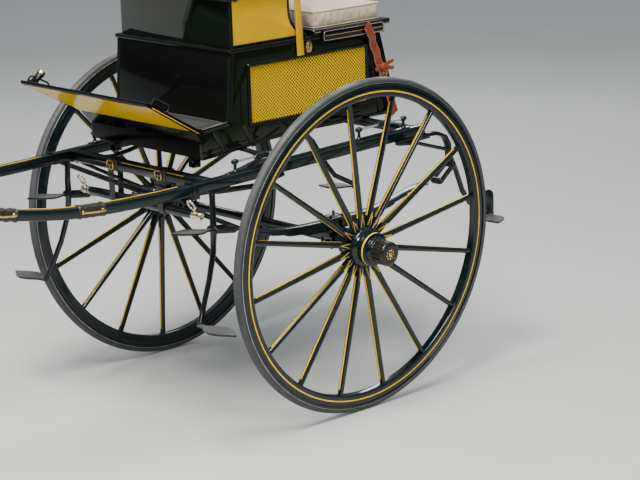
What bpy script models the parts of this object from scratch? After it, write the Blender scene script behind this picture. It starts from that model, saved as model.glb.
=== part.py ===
"""A two-wheeled tandem cart: sprung axle, shafts, sliding body, driver's seat and rear seat.

Metres, +Z up. The cart drives towards -Y, its left side is +X and the ground is z = 0.
The origin lies on the ground under the middle of the whole cart, so the axle stands at y = AXLE_Y.
Lengths along Y in the lists below are counted from the axle, backwards positive.
"""

import math

import bmesh
import bpy
from mathutils import Matrix, Vector

# Overall sizes
WHEEL_RADIUS = 0.7262
TRACK = 1.415
SHAFT_SPREAD = TRACK - 0.455
BODY_WIDTH = SHAFT_SPREAD - 0.200
CAMBER = math.radians(3.26)
FRONT_REACH = 2.715
REAR_REACH = 1.045
GAP = 0.0003

AXLE_Y = (FRONT_REACH - REAR_REACH) / 2
SIDES = (("left", 1), ("right", -1))

# Finishes: colour, roughness, metallic
BLACK = ((0.012, 0.014, 0.013), 0.15, 0.0)
GREEN = ((0.010, 0.028, 0.024), 0.22, 0.0)
YELLOW = ((0.70, 0.43, 0.02), 0.35, 0.0)
RUBBER = ((0.055, 0.055, 0.055), 0.75, 0.0)
STEEL = ((0.62, 0.62, 0.60), 0.25, 1.0)
IRON = ((0.030, 0.033, 0.034), 0.45, 0.6)
BRASS = ((0.75, 0.52, 0.20), 0.25, 1.0)
LEATHER = ((0.32, 0.11, 0.04), 0.55, 0.0)
DARK_LEATHER = ((0.045, 0.035, 0.030), 0.5, 0.0)
CLOTH = ((0.55, 0.45, 0.33), 0.9, 0.0)
MAT = ((0.10, 0.10, 0.11), 0.85, 0.0)


# Scene and helpers

for old in list(bpy.data.objects):
    bpy.data.objects.remove(old, do_unlink=True)


def collection(name):
    found = bpy.data.collections.new(name)
    bpy.context.scene.collection.children.link(found)
    return found


PARTS = collection("tandem_cart")
CUTTERS = collection("cutters")


def material(name, finish):
    colour, roughness, metallic = finish
    made = bpy.data.materials.new(name)
    made.use_nodes = True
    shader = made.node_tree.nodes["Principled BSDF"]
    shader.inputs["Base Color"].default_value = (*colour, 1.0)
    shader.inputs["Roughness"].default_value = roughness
    shader.inputs["Metallic"].default_value = metallic
    made.diffuse_color = (*colour, 1.0)
    return made


def put(name, data, finish):
    made = bpy.data.objects.new(name, data)
    PARTS.objects.link(made)
    data.materials.append(material(name, finish))
    return made


def guide(name, place):
    """An empty that holds the pieces of one moving group on its joint's axis."""
    made = bpy.data.objects.new(name, None)
    made.matrix_world = place
    PARTS.objects.link(made)
    return made


def parent(made, holder):
    made.parent = holder
    return made


def shade(mesh):
    mesh.shade_smooth()
    mesh.set_sharp_from_angle(angle=math.radians(35))


def from_bmesh(name, bm, finish):
    mesh = bpy.data.meshes.new(name)
    bm.to_mesh(mesh)
    bm.free()
    shade(mesh)
    return put(name, mesh, finish)


def box(name, finish, size, centre, turn=(0, 0, 0), edge=0.0):
    """A block with its edges broken by edge."""
    bm = bmesh.new()
    bmesh.ops.create_cube(bm, size=1)
    bmesh.ops.scale(bm, vec=size, verts=bm.verts)
    made = from_bmesh(name, bm, finish)
    made.location = centre
    made.rotation_euler = turn
    if edge:
        bevel = made.modifiers.new("Edges", "BEVEL")
        bevel.width = edge
        bevel.segments = 1
    return made


def rod(name, finish, start, end, radius, sides=10, end_radius=None):
    """A round bar between two points, tapered where end_radius is given."""
    start, end = Vector(start), Vector(end)
    bm = bmesh.new()
    bmesh.ops.create_cone(
        bm,
        cap_ends=True,
        segments=sides,
        radius1=radius,
        radius2=radius if end_radius is None else end_radius,
        depth=(end - start).length,
    )
    made = from_bmesh(name, bm, finish)
    made.matrix_world = Matrix.Translation((start + end) / 2) @ (
        Vector((0, 0, 1)).rotation_difference(end - start).to_matrix().to_4x4()
    )
    return made


def turned(name, finish, profile, steps, closed=True):
    """A profile of (radius, height) points turned about Z; it runs down its outer side."""
    mesh = bpy.data.meshes.new(name)
    points = [(r, 0, h) for r, h in profile]
    edges = [(i, i + 1) for i in range(len(points) - 1)]
    if closed:
        edges.append((len(points) - 1, 0))
    mesh.from_pydata(points, edges, [])
    made = put(name, mesh, finish)
    screw = made.modifiers.new("Turn", "SCREW")
    screw.axis = "Z"
    screw.angle = math.tau
    screw.steps = steps
    screw.render_steps = steps
    screw.use_merge_vertices = True
    screw.merge_threshold = 0.00001
    return made


def curve_data(name, lines, dimensions):
    data = bpy.data.curves.new(name, "CURVE")
    data.dimensions = dimensions
    for points in lines:
        closed = dimensions == "2D"
        spline = data.splines.new("POLY")
        spline.points.add(len(points) - 1)
        spline.use_cyclic_u = closed
        for target, point in zip(spline.points, points):
            x, y, z, radius = (tuple(point) + (0.0, 1.0))[:4] if closed else point
            target.co = (x, y, z, 1.0)
            target.radius = radius
    return data


ACROSS = Matrix(((0, 0, 1, 0), (1, 0, 0, 0), (0, 1, 0, 0), (0, 0, 0, 1)))
UPRIGHT = Matrix(((1, 0, 0, 0), (0, 0, -1, 0), (0, 1, 0, 0), (0, 0, 0, 1)))
FLAT = Matrix.Identity(4)


def plate(name, finish, outlines, thickness, centre, plane=ACROSS):
    """Flat outlines given a thickness: (y, z) points ACROSS, (x, z) UPRIGHT and (x, y) FLAT."""
    data = curve_data(name, [[(a, b, 0.0, 1.0) for a, b in line] for line in outlines], "2D")
    data.fill_mode = "BOTH"
    data.extrude = thickness / 2
    made = put(name, data, finish)
    made.matrix_world = Matrix.Translation(centre) @ plane
    return made


def tube(name, finish, points, radius, resolution=2):
    """A round bar bent through points of (x, y, z) or (x, y, z, share of the radius)."""
    data = curve_data(name, [[tuple(p) if len(p) == 4 else (*p, 1.0) for p in points]], "3D")
    data.bevel_depth = radius
    data.bevel_resolution = resolution
    data.use_fill_caps = True
    return put(name, data, finish)


def swept(name, finish, points, width, height, corner=0.25):
    """A bar of rounded rectangular section along points of (x, y, z, share of the section)."""
    a, b = width / 2, height / 2
    c = corner * min(a, b)
    ring = [(a, b - c), (a - c, b), (c - a, b), (-a, b - c)]
    ring += [(-x, -y) for x, y in ring]
    section = bpy.data.objects.new(
        f"{name}_section", curve_data(f"{name}_section", [[(x, y, 0.0, 1.0) for x, y in ring]], "2D")
    )
    section.hide_render = True
    CUTTERS.objects.link(section)
    data = curve_data(name, [points], "3D")
    data.twist_mode = "Z_UP"
    data.bevel_mode = "OBJECT"
    data.bevel_object = section
    data.use_fill_caps = True
    return as_mesh(put(name, data, finish))


def torus(name, finish, centre, major, minor, turn=(0, 0, 0), steps=(16, 6)):
    bpy.ops.mesh.primitive_torus_add(
        major_radius=major, minor_radius=minor, major_segments=steps[0], minor_segments=steps[1]
    )
    made = bpy.context.object
    for owner in list(made.users_collection):
        owner.objects.unlink(made)
    PARTS.objects.link(made)
    made.name = name
    made.data.materials.append(material(name, finish))
    made.location = centre
    made.rotation_euler = turn
    return made


def as_mesh(made):
    """A curve as a mesh with its caps welded; a mesh as it is."""
    if made.type == "MESH":
        return made
    bpy.context.view_layer.update()
    mesh = bpy.data.meshes.new_from_object(made.evaluated_get(bpy.context.evaluated_depsgraph_get()))
    bm = bmesh.new()
    bm.from_mesh(mesh)
    bmesh.ops.remove_doubles(bm, verts=bm.verts, dist=0.00001)
    bmesh.ops.recalc_face_normals(bm, faces=bm.faces)
    bm.to_mesh(mesh)
    bm.free()
    shade(mesh)
    name, place = made.name, made.matrix_world.copy()
    bpy.data.objects.remove(made, do_unlink=True)
    solid = bpy.data.objects.new(name, mesh)
    solid.matrix_world = place
    PARTS.objects.link(solid)
    return solid


def helper(made, holder):
    """Moves a shape among the cutters and gives it its piece's parent."""
    made = as_mesh(made)
    PARTS.objects.unlink(made)
    CUTTERS.objects.link(made)
    made.hide_render = True
    made.display_type = "WIRE"
    if holder:
        made.parent = holder
    return made


def combine(made, others, operation="UNION", holder=None):
    """One piece from several shapes, or a piece less its cutters, under holder."""
    made = as_mesh(made)
    for i, other in enumerate(others):
        step = made.modifiers.new(f"{operation.title()} {i + 1}", "BOOLEAN")
        step.operation = operation
        step.solver = "EXACT"
        step.object = helper(other, holder)
    if holder:
        made.parent = holder
    return made


def behind(y):
    """A distance from the axle as the cart's own Y."""
    return AXLE_Y + y


def from_axle(points):
    """(y, z) points counted from the axle, in the cart's own Y."""
    return [(behind(y), z) for y, z in points]


def arc(centre, radius, start, end, count):
    """Points along a circle's arc, angles in degrees."""
    turn = [math.radians(start + (end - start) * i / (count - 1)) for i in range(count)]
    return [(centre[0] + radius * math.cos(t), centre[1] + radius * math.sin(t)) for t in turn]


def strip(path, thickness):
    """The outline of a bar of even thickness along (a, b) points."""
    offsets = []
    for i, (a, b) in enumerate(path):
        before, after = path[max(i - 1, 0)], path[min(i + 1, len(path) - 1)]
        da, db = after[0] - before[0], after[1] - before[1]
        length = math.hypot(da, db)
        offsets.append((-db / length * thickness / 2, da / length * thickness / 2))
    upper = [(a + u, b + v) for (a, b), (u, v) in zip(path, offsets)]
    lower = [(a - u, b - v) for (a, b), (u, v) in zip(path, offsets)]
    return upper + lower[::-1]


def leaf(length, width, stalk):
    """A step tread's outline, from its stalk at x = 0 to its tip at x = length."""
    half, neck = width / 2, stalk / 2
    side = [(0.0, neck), (0.16 * length, neck * 1.1), (0.34 * length, half * 0.72)]
    side += [(0.52 * length, half), (0.72 * length, half * 0.78), (0.90 * length, half * 0.30)]
    return side + [(length, 0.0)] + [(x, -y) for x, y in side[::-1]]


# Wheels: rubber tyre in a steel channel, felloes, sixteen spokes and a nave

WHEEL_STEPS = 48
SPOKES = 16
TYRE_WIDTH = 0.038
TYRE_DEPTH = 0.0285
TYRE_SHOULDER = 0.012
TYRE_TREAD = 0.0072
TYRE_TAPER = 0.0025
CHANNEL_WALL = 0.0040
CHANNEL_LIP = 0.0075
FELLOE_DEPTH = 0.0490
FELLOE_WIDTH = 0.042
FELLOE_CHAMFER = 0.008
DISH = 0.020
NAVE_RADIUS = 0.0860
NAVE_FRONT_RADIUS = 0.0680
NAVE_REAR_RADIUS = 0.0600
NAVE_FRONT = 0.0560
NAVE_REAR = -0.1120
NAVE_BELLY = (0.006, -0.046)
NAVE_SHOULDER = (0.068, -0.070)
SPOKE_ROOT = (0.036, 0.030)
SPOKE_TIP = (0.027, 0.023)
SPOKE_SET_IN = 0.020
BAND_WALL = 0.0045
BAND_LENGTH = 0.026
ARM_RADIUS = 0.0220
BOX_WALL = 0.0095
BOX_PROUD = 0.010
NUT_RADIUS = 0.0340
NUT_LENGTH = 0.016
CAP_RADIUS = 0.0525
CAP_LENGTH = 0.092
CAP_WALL = 0.0060
PHASE = {"left": math.radians(6.05), "right": 0.0}

HUB_HEIGHT = WHEEL_RADIUS * math.cos(CAMBER) + TYRE_TREAD * math.sin(CAMBER)
TYRE_SEAT = WHEEL_RADIUS - TYRE_DEPTH
CHANNEL_SEAT = TYRE_SEAT - GAP
FELLOE_OUTER = CHANNEL_SEAT - CHANNEL_WALL - GAP
FELLOE_INNER = FELLOE_OUTER - FELLOE_DEPTH
FACET = math.cos(math.pi / WHEEL_STEPS)
ROUND = 20
ROUND_FACET = math.cos(math.pi / ROUND)
BOX_BORE = (ARM_RADIUS + GAP) / ROUND_FACET
BOX_RADIUS = BOX_BORE + BOX_WALL
NAVE_BORE = (BOX_RADIUS + GAP) / ROUND_FACET


def tyre(side, axis):
    half, base = TYRE_WIDTH / 2, TYRE_WIDTH / 2 - TYRE_TAPER
    shoulder = WHEEL_RADIUS - TYRE_SHOULDER
    profile = [(TYRE_SEAT, base), (shoulder, half), (WHEEL_RADIUS, TYRE_TREAD)]
    profile += [(r, -h) for r, h in profile[::-1]]
    parent(turned(f"tyre_{side}", RUBBER, profile, WHEEL_STEPS), axis)


def tyre_channel(side, axis):
    inner = TYRE_WIDTH / 2 + GAP
    outer = inner + CHANNEL_WALL * 0.75
    lip = CHANNEL_SEAT + CHANNEL_LIP
    profile = [(lip, outer), (lip, inner), (CHANNEL_SEAT, inner)]
    profile += [(r, -h) for r, h in profile[::-1]]
    profile += [(CHANNEL_SEAT - CHANNEL_WALL, -outer), (CHANNEL_SEAT - CHANNEL_WALL, outer)]
    parent(turned(f"tyre_channel_{side}", STEEL, profile, WHEEL_STEPS), axis)


def felloe_rim(side, axis):
    half, low = FELLOE_WIDTH / 2, FELLOE_INNER + FELLOE_CHAMFER
    profile = [(FELLOE_OUTER, half), (FELLOE_OUTER, -half), (low, -half)]
    profile += [(FELLOE_INNER, FELLOE_CHAMFER - half), (FELLOE_INNER, half - FELLOE_CHAMFER), (low, half)]
    parent(turned(f"felloe_rim_{side}", GREEN, profile, WHEEL_STEPS), axis)


def spoke(name, turn):
    """One tapered oval spoke, from inside the nave to just short of the felloe."""
    start, end = NAVE_RADIUS - SPOKE_SET_IN, FELLOE_INNER * FACET - GAP
    bm = bmesh.new()
    bmesh.ops.create_cone(
        bm, cap_ends=True, segments=8, radius1=0.5, radius2=0.5, depth=end - start
    )
    for vert in bm.verts:
        share = vert.co.z / (end - start) + 0.5
        deep = SPOKE_ROOT[0] + (SPOKE_TIP[0] - SPOKE_ROOT[0]) * share
        wide = SPOKE_ROOT[1] + (SPOKE_TIP[1] - SPOKE_ROOT[1]) * share
        lean = -DISH * (1 - share)
        vert.co = (vert.co.z + (start + end) / 2, vert.co.y * wide, vert.co.x * deep + lean)
    bmesh.ops.recalc_face_normals(bm, faces=bm.faces)
    made = from_bmesh(name, bm, GREEN)
    made.rotation_euler = (0, 0, turn)
    return made


def spokes_and_nave(side, axis):
    hoop = NAVE_FRONT_RADIUS + BAND_WALL
    seat = NAVE_FRONT - BAND_LENGTH
    profile = [(NAVE_BORE, NAVE_FRONT), (hoop - 0.002, NAVE_FRONT), (hoop, NAVE_FRONT - 0.003)]
    profile += [(hoop, seat), (NAVE_FRONT_RADIUS, seat)]
    profile += [(NAVE_RADIUS, height) for height in NAVE_BELLY]
    profile += [NAVE_SHOULDER, (NAVE_REAR_RADIUS, NAVE_REAR), (NAVE_BORE, NAVE_REAR)]
    nave = turned(f"spokes_and_nave_{side}", GREEN, profile, ROUND)
    first = math.pi / WHEEL_STEPS
    spokes = [spoke(f"spoke_{side}_{i + 1}", first + math.tau * i / SPOKES) for i in range(SPOKES)]
    combine(nave, spokes, holder=axis)


def axle_box(side, axis):
    top, bottom = NAVE_FRONT + BOX_PROUD, NAVE_REAR - 0.002
    profile = [(BOX_BORE, top), (BOX_RADIUS, top), (BOX_RADIUS, bottom), (BOX_BORE, bottom)]
    parent(turned(f"axle_box_{side}", STEEL, profile, ROUND), axis)


def hub_cap(side, axis):
    seat = NAVE_FRONT + GAP
    top = seat + CAP_LENGTH
    inner = CAP_RADIUS - CAP_WALL
    profile = [(0, top), (CAP_RADIUS * 0.62, top), (CAP_RADIUS * 0.92, top - 0.006)]
    profile += [(CAP_RADIUS, top - 0.020), (CAP_RADIUS, seat + 0.014), (CAP_RADIUS * 1.14, seat + 0.008)]
    profile += [(CAP_RADIUS * 1.14, seat), (inner, seat), (inner, top - 0.014), (0, top - 0.010)]
    parent(turned(f"hub_cap_{side}", BLACK, profile, ROUND, closed=False), axis)


def wheel_place(side, sign):
    turn = Matrix.Rotation(sign * (math.pi / 2 + CAMBER), 4, "Y")
    return Matrix.Translation((sign * TRACK / 2, AXLE_Y, HUB_HEIGHT)) @ turn


for side, sign in SIDES:
    axis = guide(f"wheel_axis_{side}", wheel_place(side, sign) @ Matrix.Rotation(PHASE[side], 4, "Z"))
    tyre(side, axis)
    tyre_channel(side, axis)
    felloe_rim(side, axis)
    spokes_and_nave(side, axis)
    axle_box(side, axis)
    hub_cap(side, axis)


# Axle: a straight square bed with two drooped arms, their collars and collet nuts

BED_SIZE = 0.034
COLLAR_RADIUS = 0.040
COLLAR_LENGTH = 0.014
SPRING_X = SHAFT_SPREAD / 2 + 0.020

COLLAR_TOP = NAVE_REAR - 0.002 - GAP
BED_HALF = TRACK / 2 + (COLLAR_TOP - COLLAR_LENGTH / 2) * math.cos(CAMBER)
BED_HEIGHT = HUB_HEIGHT - (COLLAR_TOP - COLLAR_LENGTH / 2) * math.sin(CAMBER)
BED_TOP = BED_HEIGHT + BED_SIZE / 2
BED_BOTTOM = BED_HEIGHT - BED_SIZE / 2
NUT_SEAT = NAVE_FRONT + BOX_PROUD + GAP

AXLE_GROUP = guide("axle_group", Matrix.Translation((0, AXLE_Y, BED_HEIGHT)))


def axle():
    bed = box("axle", IRON, (2 * BED_HALF, BED_SIZE, BED_SIZE), (0, 0, 0), edge=0.004)
    others = []
    for side, sign in SIDES:
        arm = turned(
            f"axle_arm_{side}",
            STEEL,
            [(0, NUT_SEAT + NUT_LENGTH), (NUT_RADIUS, NUT_SEAT + NUT_LENGTH), (NUT_RADIUS, NUT_SEAT)]
            + [(ARM_RADIUS, NUT_SEAT), (ARM_RADIUS, COLLAR_TOP), (COLLAR_RADIUS, COLLAR_TOP)]
            + [(COLLAR_RADIUS, COLLAR_TOP - COLLAR_LENGTH), (0, COLLAR_TOP - COLLAR_LENGTH)],
            ROUND,
            closed=False,
        )
        arm.matrix_world = AXLE_GROUP.matrix_world.inverted() @ wheel_place(side, sign)
        others.append(arm)
    combine(bed, others, holder=AXLE_GROUP)


axle()


# Side springs: five leaves with rolled eyes, clipped on the axle and hung in shackles

SPRING_WIDTH = 0.044
LEAF_THICKNESS = 0.009
LEAF_REACH = (0.440, 0.360, 0.270, 0.170)
LEAF_END_TAPER = 0.012
EYE_RADIUS = 0.0155
EYE_BORE = 0.0078
BORE_OVERRUN = 0.010
PIN_RADIUS = 0.0072
FRONT_EYE = (-0.565, 0.880)
REAR_EYE = (0.640, 0.872)
SPRING_TOP = [(-0.50, 0.866), (-0.396, 0.843), (-0.297, 0.829), (-0.185, 0.820), (-0.06, 0.817)]
SPRING_TOP += [(0.06, 0.817), (0.185, 0.819), (0.273, 0.828), (0.36, 0.844), (0.44, 0.862), (0.53, 0.876)]
BOSS_Y, BOSS_Z = -0.655, 0.893
HANGER_EYE = (0.722, 0.935)
SHACKLE_WALL = 0.005
SHACKLE_PLAY = 0.0012
PIN_PROUD = 0.006
PACK = LEAF_THICKNESS * (len(LEAF_REACH) + 1)
PACK_TOP = SPRING_TOP[4][1]
PACK_BOTTOM = PACK_TOP - PACK


def along(line, y):
    """Height of a line of (y, z) points at y."""
    for (y0, z0), (y1, z1) in zip(line, line[1:]):
        if y0 <= y <= y1:
            return z0 + (z1 - z0) * (y - y0) / (y1 - y0)
    return line[0][1] if y < line[0][0] else line[-1][1]


def spring_outline():
    """The top of the main leaf and, below it, the stepped ends of the shorter leaves."""
    whole = [FRONT_EYE] + SPRING_TOP + [REAR_EYE]
    under = []
    for sign in (-1, 1):
        ends = []
        for i, reach in enumerate(LEAF_REACH):
            y = sign * reach
            z = along(whole, y)
            ends.append((y, z - LEAF_THICKNESS * (i + 1)))
            ends.append((y - sign * LEAF_END_TAPER, z - LEAF_THICKNESS * (i + 2)))
        under.append(ends)
    front = [(y, z - LEAF_THICKNESS) for y, z in SPRING_TOP if y < -LEAF_REACH[0]]
    rear = [(y, z - LEAF_THICKNESS) for y, z in SPRING_TOP if y > LEAF_REACH[0]]
    lower = [(FRONT_EYE[0], FRONT_EYE[1] - LEAF_THICKNESS)] + front + under[0]
    lower += [(-0.06, PACK_BOTTOM), (0.06, PACK_BOTTOM)] + under[1][::-1] + rear
    lower += [(REAR_EYE[0], REAR_EYE[1] - LEAF_THICKNESS)]
    return from_axle(whole + lower[::-1])


def at_side(sign, y, z, x=SPRING_X):
    return (sign * x, behind(y), z)


def spring(side, sign):
    pack = plate(f"spring_{side}", STEEL, [spring_outline()], SPRING_WIDTH, (sign * SPRING_X, 0, 0))
    half = SPRING_WIDTH / 2
    eyes, bores = [], []
    for name, (y, z) in (("front", FRONT_EYE), ("rear", REAR_EYE)):
        for group, radius, reach in ((eyes, EYE_RADIUS, half), (bores, EYE_BORE, half + BORE_OVERRUN)):
            start, end = at_side(sign, y, z), at_side(sign, y, z)
            start = (start[0] - reach, *start[1:])
            end = (end[0] + reach, *end[1:])
            group.append(rod(f"spring_{name}_{side}_{len(group)}_{radius}", STEEL, start, end, radius))
    combine(combine(pack, eyes), bores, "DIFFERENCE")


def shackle(name, side, sign, first, second):
    """Two side plates joined by the two pins that pass through the eyes."""
    inner = SPRING_WIDTH / 2 + SHACKLE_PLAY
    lean = math.degrees(math.atan2(second[1] - first[1], second[0] - first[0]))
    radius = EYE_RADIUS - 0.002
    outline = from_axle(arc(first, radius, lean + 90, lean + 270, 6))
    outline += from_axle(arc(second, radius, lean - 90, lean + 90, 6))
    plates = []
    for face, ending in ((-1, ""), (1, "_other_plate")):
        x = sign * SPRING_X + face * (inner + SHACKLE_WALL / 2)
        plates.append(plate(f"{name}_{side}{ending}", IRON, [outline], SHACKLE_WALL, (x, 0, 0)))
    pins = []
    for i, (y, z) in enumerate((first, second)):
        reach = inner + SHACKLE_WALL + PIN_PROUD
        ends = [(sign * SPRING_X + face * reach, behind(y), z) for face in (-1, 1)]
        pins.append(rod(f"{name}_{side}_pin_{i + 1}", IRON, *ends, PIN_RADIUS))
    combine(plates[0], [plates[1], *pins])


# Spring seats: a block on the axle bed, a top plate, a bottom plate and four bolts

SEAT_LENGTH = 0.110
SEAT_PLATE = 0.010
BOLT_RADIUS = 0.0065
BOLT_PLAY = 0.0012
BOLT_TAIL = 0.012
BOLT_HEAD = 0.014


def spring_seat(side, sign):
    half = SPRING_WIDTH / 2
    low, high = BED_TOP + GAP, PACK_BOTTOM - GAP
    wide = SPRING_WIDTH + 4 * BOLT_RADIUS + 0.008
    block = box(
        f"spring_seat_{side}",
        IRON,
        (wide, SEAT_LENGTH, high - low),
        at_side(sign, 0, (low + high) / 2),
    )
    top = PACK_TOP + GAP
    plates = [
        box(f"{name}_{side}", IRON, (wide, length, SEAT_PLATE), at_side(sign, 0, z))
        for name, length, z in (
            ("seat_top", SEAT_LENGTH, top + SEAT_PLATE / 2),
            ("seat_bottom", SEAT_LENGTH * 0.8, BED_BOTTOM - GAP - SEAT_PLATE / 2),
        )
    ]
    bolts = []
    for i, (across, y) in enumerate(((-1, -1), (1, -1), (-1, 1), (1, 1))):
        x = SPRING_X + across * (half + BOLT_RADIUS + BOLT_PLAY)
        ends = [BED_BOTTOM - SEAT_PLATE - BOLT_TAIL, top + SEAT_PLATE + BOLT_HEAD]
        points = [at_side(sign, y * SEAT_LENGTH * 0.32, z, x) for z in ends]
        bolts.append(rod(f"seat_bolt_{side}_{i + 1}", IRON, *points, BOLT_RADIUS, sides=6))
    combine(block, plates + bolts)


# Shafts: two long tapered timbers joined by a front and a rear cross bar

SHAFT_WIDTH = 0.044
SHAFT_HEIGHT = 0.046
SHAFT_REAR = 0.570
TIP_SPREAD = 0.660
BEND_Y = -0.661
# Height of the shaft's top over the axle and its rise backwards from the bend
SHAFT_TOP = 1.119
SHAFT_RISE = 0.032
# From the bend to the tip: distance, height of the top, share of the spread's narrowing, section
SHAFT_FORE = [
    (-0.85, 1.092, 0.04, 1.00),
    (-1.01, 1.090, 0.10, 1.00),
    (-1.18, 1.092, 0.17, 1.00),
    (-1.35, 1.102, 0.26, 0.99),
    (-1.52, 1.126, 0.36, 0.97),
    (-1.70, 1.158, 0.47, 0.95),
    (-1.90, 1.194, 0.60, 0.92),
    (-2.10, 1.225, 0.72, 0.88),
    (-2.30, 1.248, 0.84, 0.83),
    (-2.50, 1.257, 0.95, 0.78),
    (-2.61, 1.260, 1.00, 0.74),
    (-FRONT_REACH, 1.260, 1.00, 0.70),
]
SHAFT_X = SHAFT_SPREAD / 2
SHAFT_INNER = SHAFT_X - SHAFT_WIDTH / 2
SHAFT_SLOPE = math.atan(SHAFT_RISE)


def shaft_top(y):
    return SHAFT_TOP + SHAFT_RISE * y


def shaft_under(y):
    return shaft_top(y) - SHAFT_HEIGHT


def shaft(side, sign):
    straight = (SHAFT_REAR, 0.0, BEND_Y)
    points = [(sign * SHAFT_X, behind(y), shaft_top(y) - SHAFT_HEIGHT / 2, 1.0) for y in straight]
    for y, z, narrowing, share in SHAFT_FORE:
        x = SHAFT_X + (TIP_SPREAD / 2 - SHAFT_X) * narrowing
        points.append((sign * x, behind(y), z - SHAFT_HEIGHT / 2, share))
    swept(f"shaft_{side}", GREEN, points, SHAFT_WIDTH, SHAFT_HEIGHT, corner=0.4)


CROSS_BAR_DEPTH = 0.044
CROSS_BAR_HEIGHT = 0.046
REAR_BAR_Y = 0.535
REAR_BAR_SIZE = 0.036
TRUSS_RADIUS = 0.0085
TRUSS_DROP = 0.058
TRUSS_SET_BACK = 0.010
KEEPER_X = (-0.131, 0.199)
KEEPER_WIDTH = 0.022
KEEPER_GROWTH = 0.006

CROSS_BAR_Y = BEND_Y + CROSS_BAR_DEPTH / 2
CROSS_BAR_TOP = shaft_top(BEND_Y)
CROSS_BAR_Z = CROSS_BAR_TOP - CROSS_BAR_HEIGHT / 2


def front_cross_bar():
    """The bar with its two strap keepers and the bowed truss iron under it."""
    half = SHAFT_INNER - GAP
    bar = box(
        "front_cross_bar",
        GREEN,
        (2 * half, CROSS_BAR_DEPTH, CROSS_BAR_HEIGHT),
        (0, behind(CROSS_BAR_Y), CROSS_BAR_Z),
        edge=0.005,
    )
    low = CROSS_BAR_Z - CROSS_BAR_HEIGHT / 2
    bow = [(half - 0.012, low + 0.004), (half - 0.05, low - 0.010), (0.24, low - TRUSS_DROP * 0.55)]
    points = [(x, z) for x, z in bow] + [(0.0, low - TRUSS_DROP)] + [(-x, z) for x, z in bow[::-1]]
    middle = behind(CROSS_BAR_Y + TRUSS_SET_BACK)
    truss = tube("cross_bar_truss", IRON, [(x, middle, z) for x, z in points], TRUSS_RADIUS)
    keepers = [
        box(
            f"strap_keeper_{i + 1}",
            IRON,
            (KEEPER_WIDTH, CROSS_BAR_DEPTH + KEEPER_GROWTH, CROSS_BAR_HEIGHT + KEEPER_GROWTH),
            (x, behind(CROSS_BAR_Y), CROSS_BAR_Z),
        )
        for i, x in enumerate(KEEPER_X)
    ]
    combine(bar, [truss, *keepers])


def rear_cross_bar():
    z = shaft_under(REAR_BAR_Y) + SHAFT_HEIGHT / 2
    size = (2 * (SHAFT_INNER - GAP), REAR_BAR_SIZE, REAR_BAR_SIZE)
    box("rear_cross_bar", GREEN, size, (0, behind(REAR_BAR_Y), z), edge=0.004)


# Front irons: a step iron under each bend, its two leaf treads, the spring boss and a shaft stay

IRON_RADIUS = 0.0125
# Distance outwards from the spring's middle, y, z, share of the radius
IRON_LINE = [
    (-0.003, -0.652, 1.045, 1.0),
    (0.000, -0.655, 0.960, 1.05),
    (0.000, -0.655, 0.893, 1.15),
    (0.003, -0.664, 0.800, 1.0),
    (0.012, -0.700, 0.690, 0.95),
    (0.024, -0.745, 0.590, 0.9),
    (0.037, -0.781, 0.520, 0.85),
]
UPPER_TREAD_LENGTH = 0.220
UPPER_TREAD_RISE = math.radians(5)
LOWER_TREAD_LENGTH = 0.240
TREAD_WIDTH = 0.105
TREAD_THICKNESS = 0.008
TREAD_STALK = 0.022
FOOT_LENGTH = 0.100
FOOT_THICKNESS = 0.009
STAY_RADIUS = 0.011


def tread(name, length):
    return plate(name, IRON, [leaf(length, TREAD_WIDTH, TREAD_STALK)], TREAD_THICKNESS, (0, 0, 0), FLAT)


def outward(sign):
    """The turn that points a tread away from the cart's middle."""
    return Matrix.Rotation(0 if sign > 0 else math.pi, 4, "Z")


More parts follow.
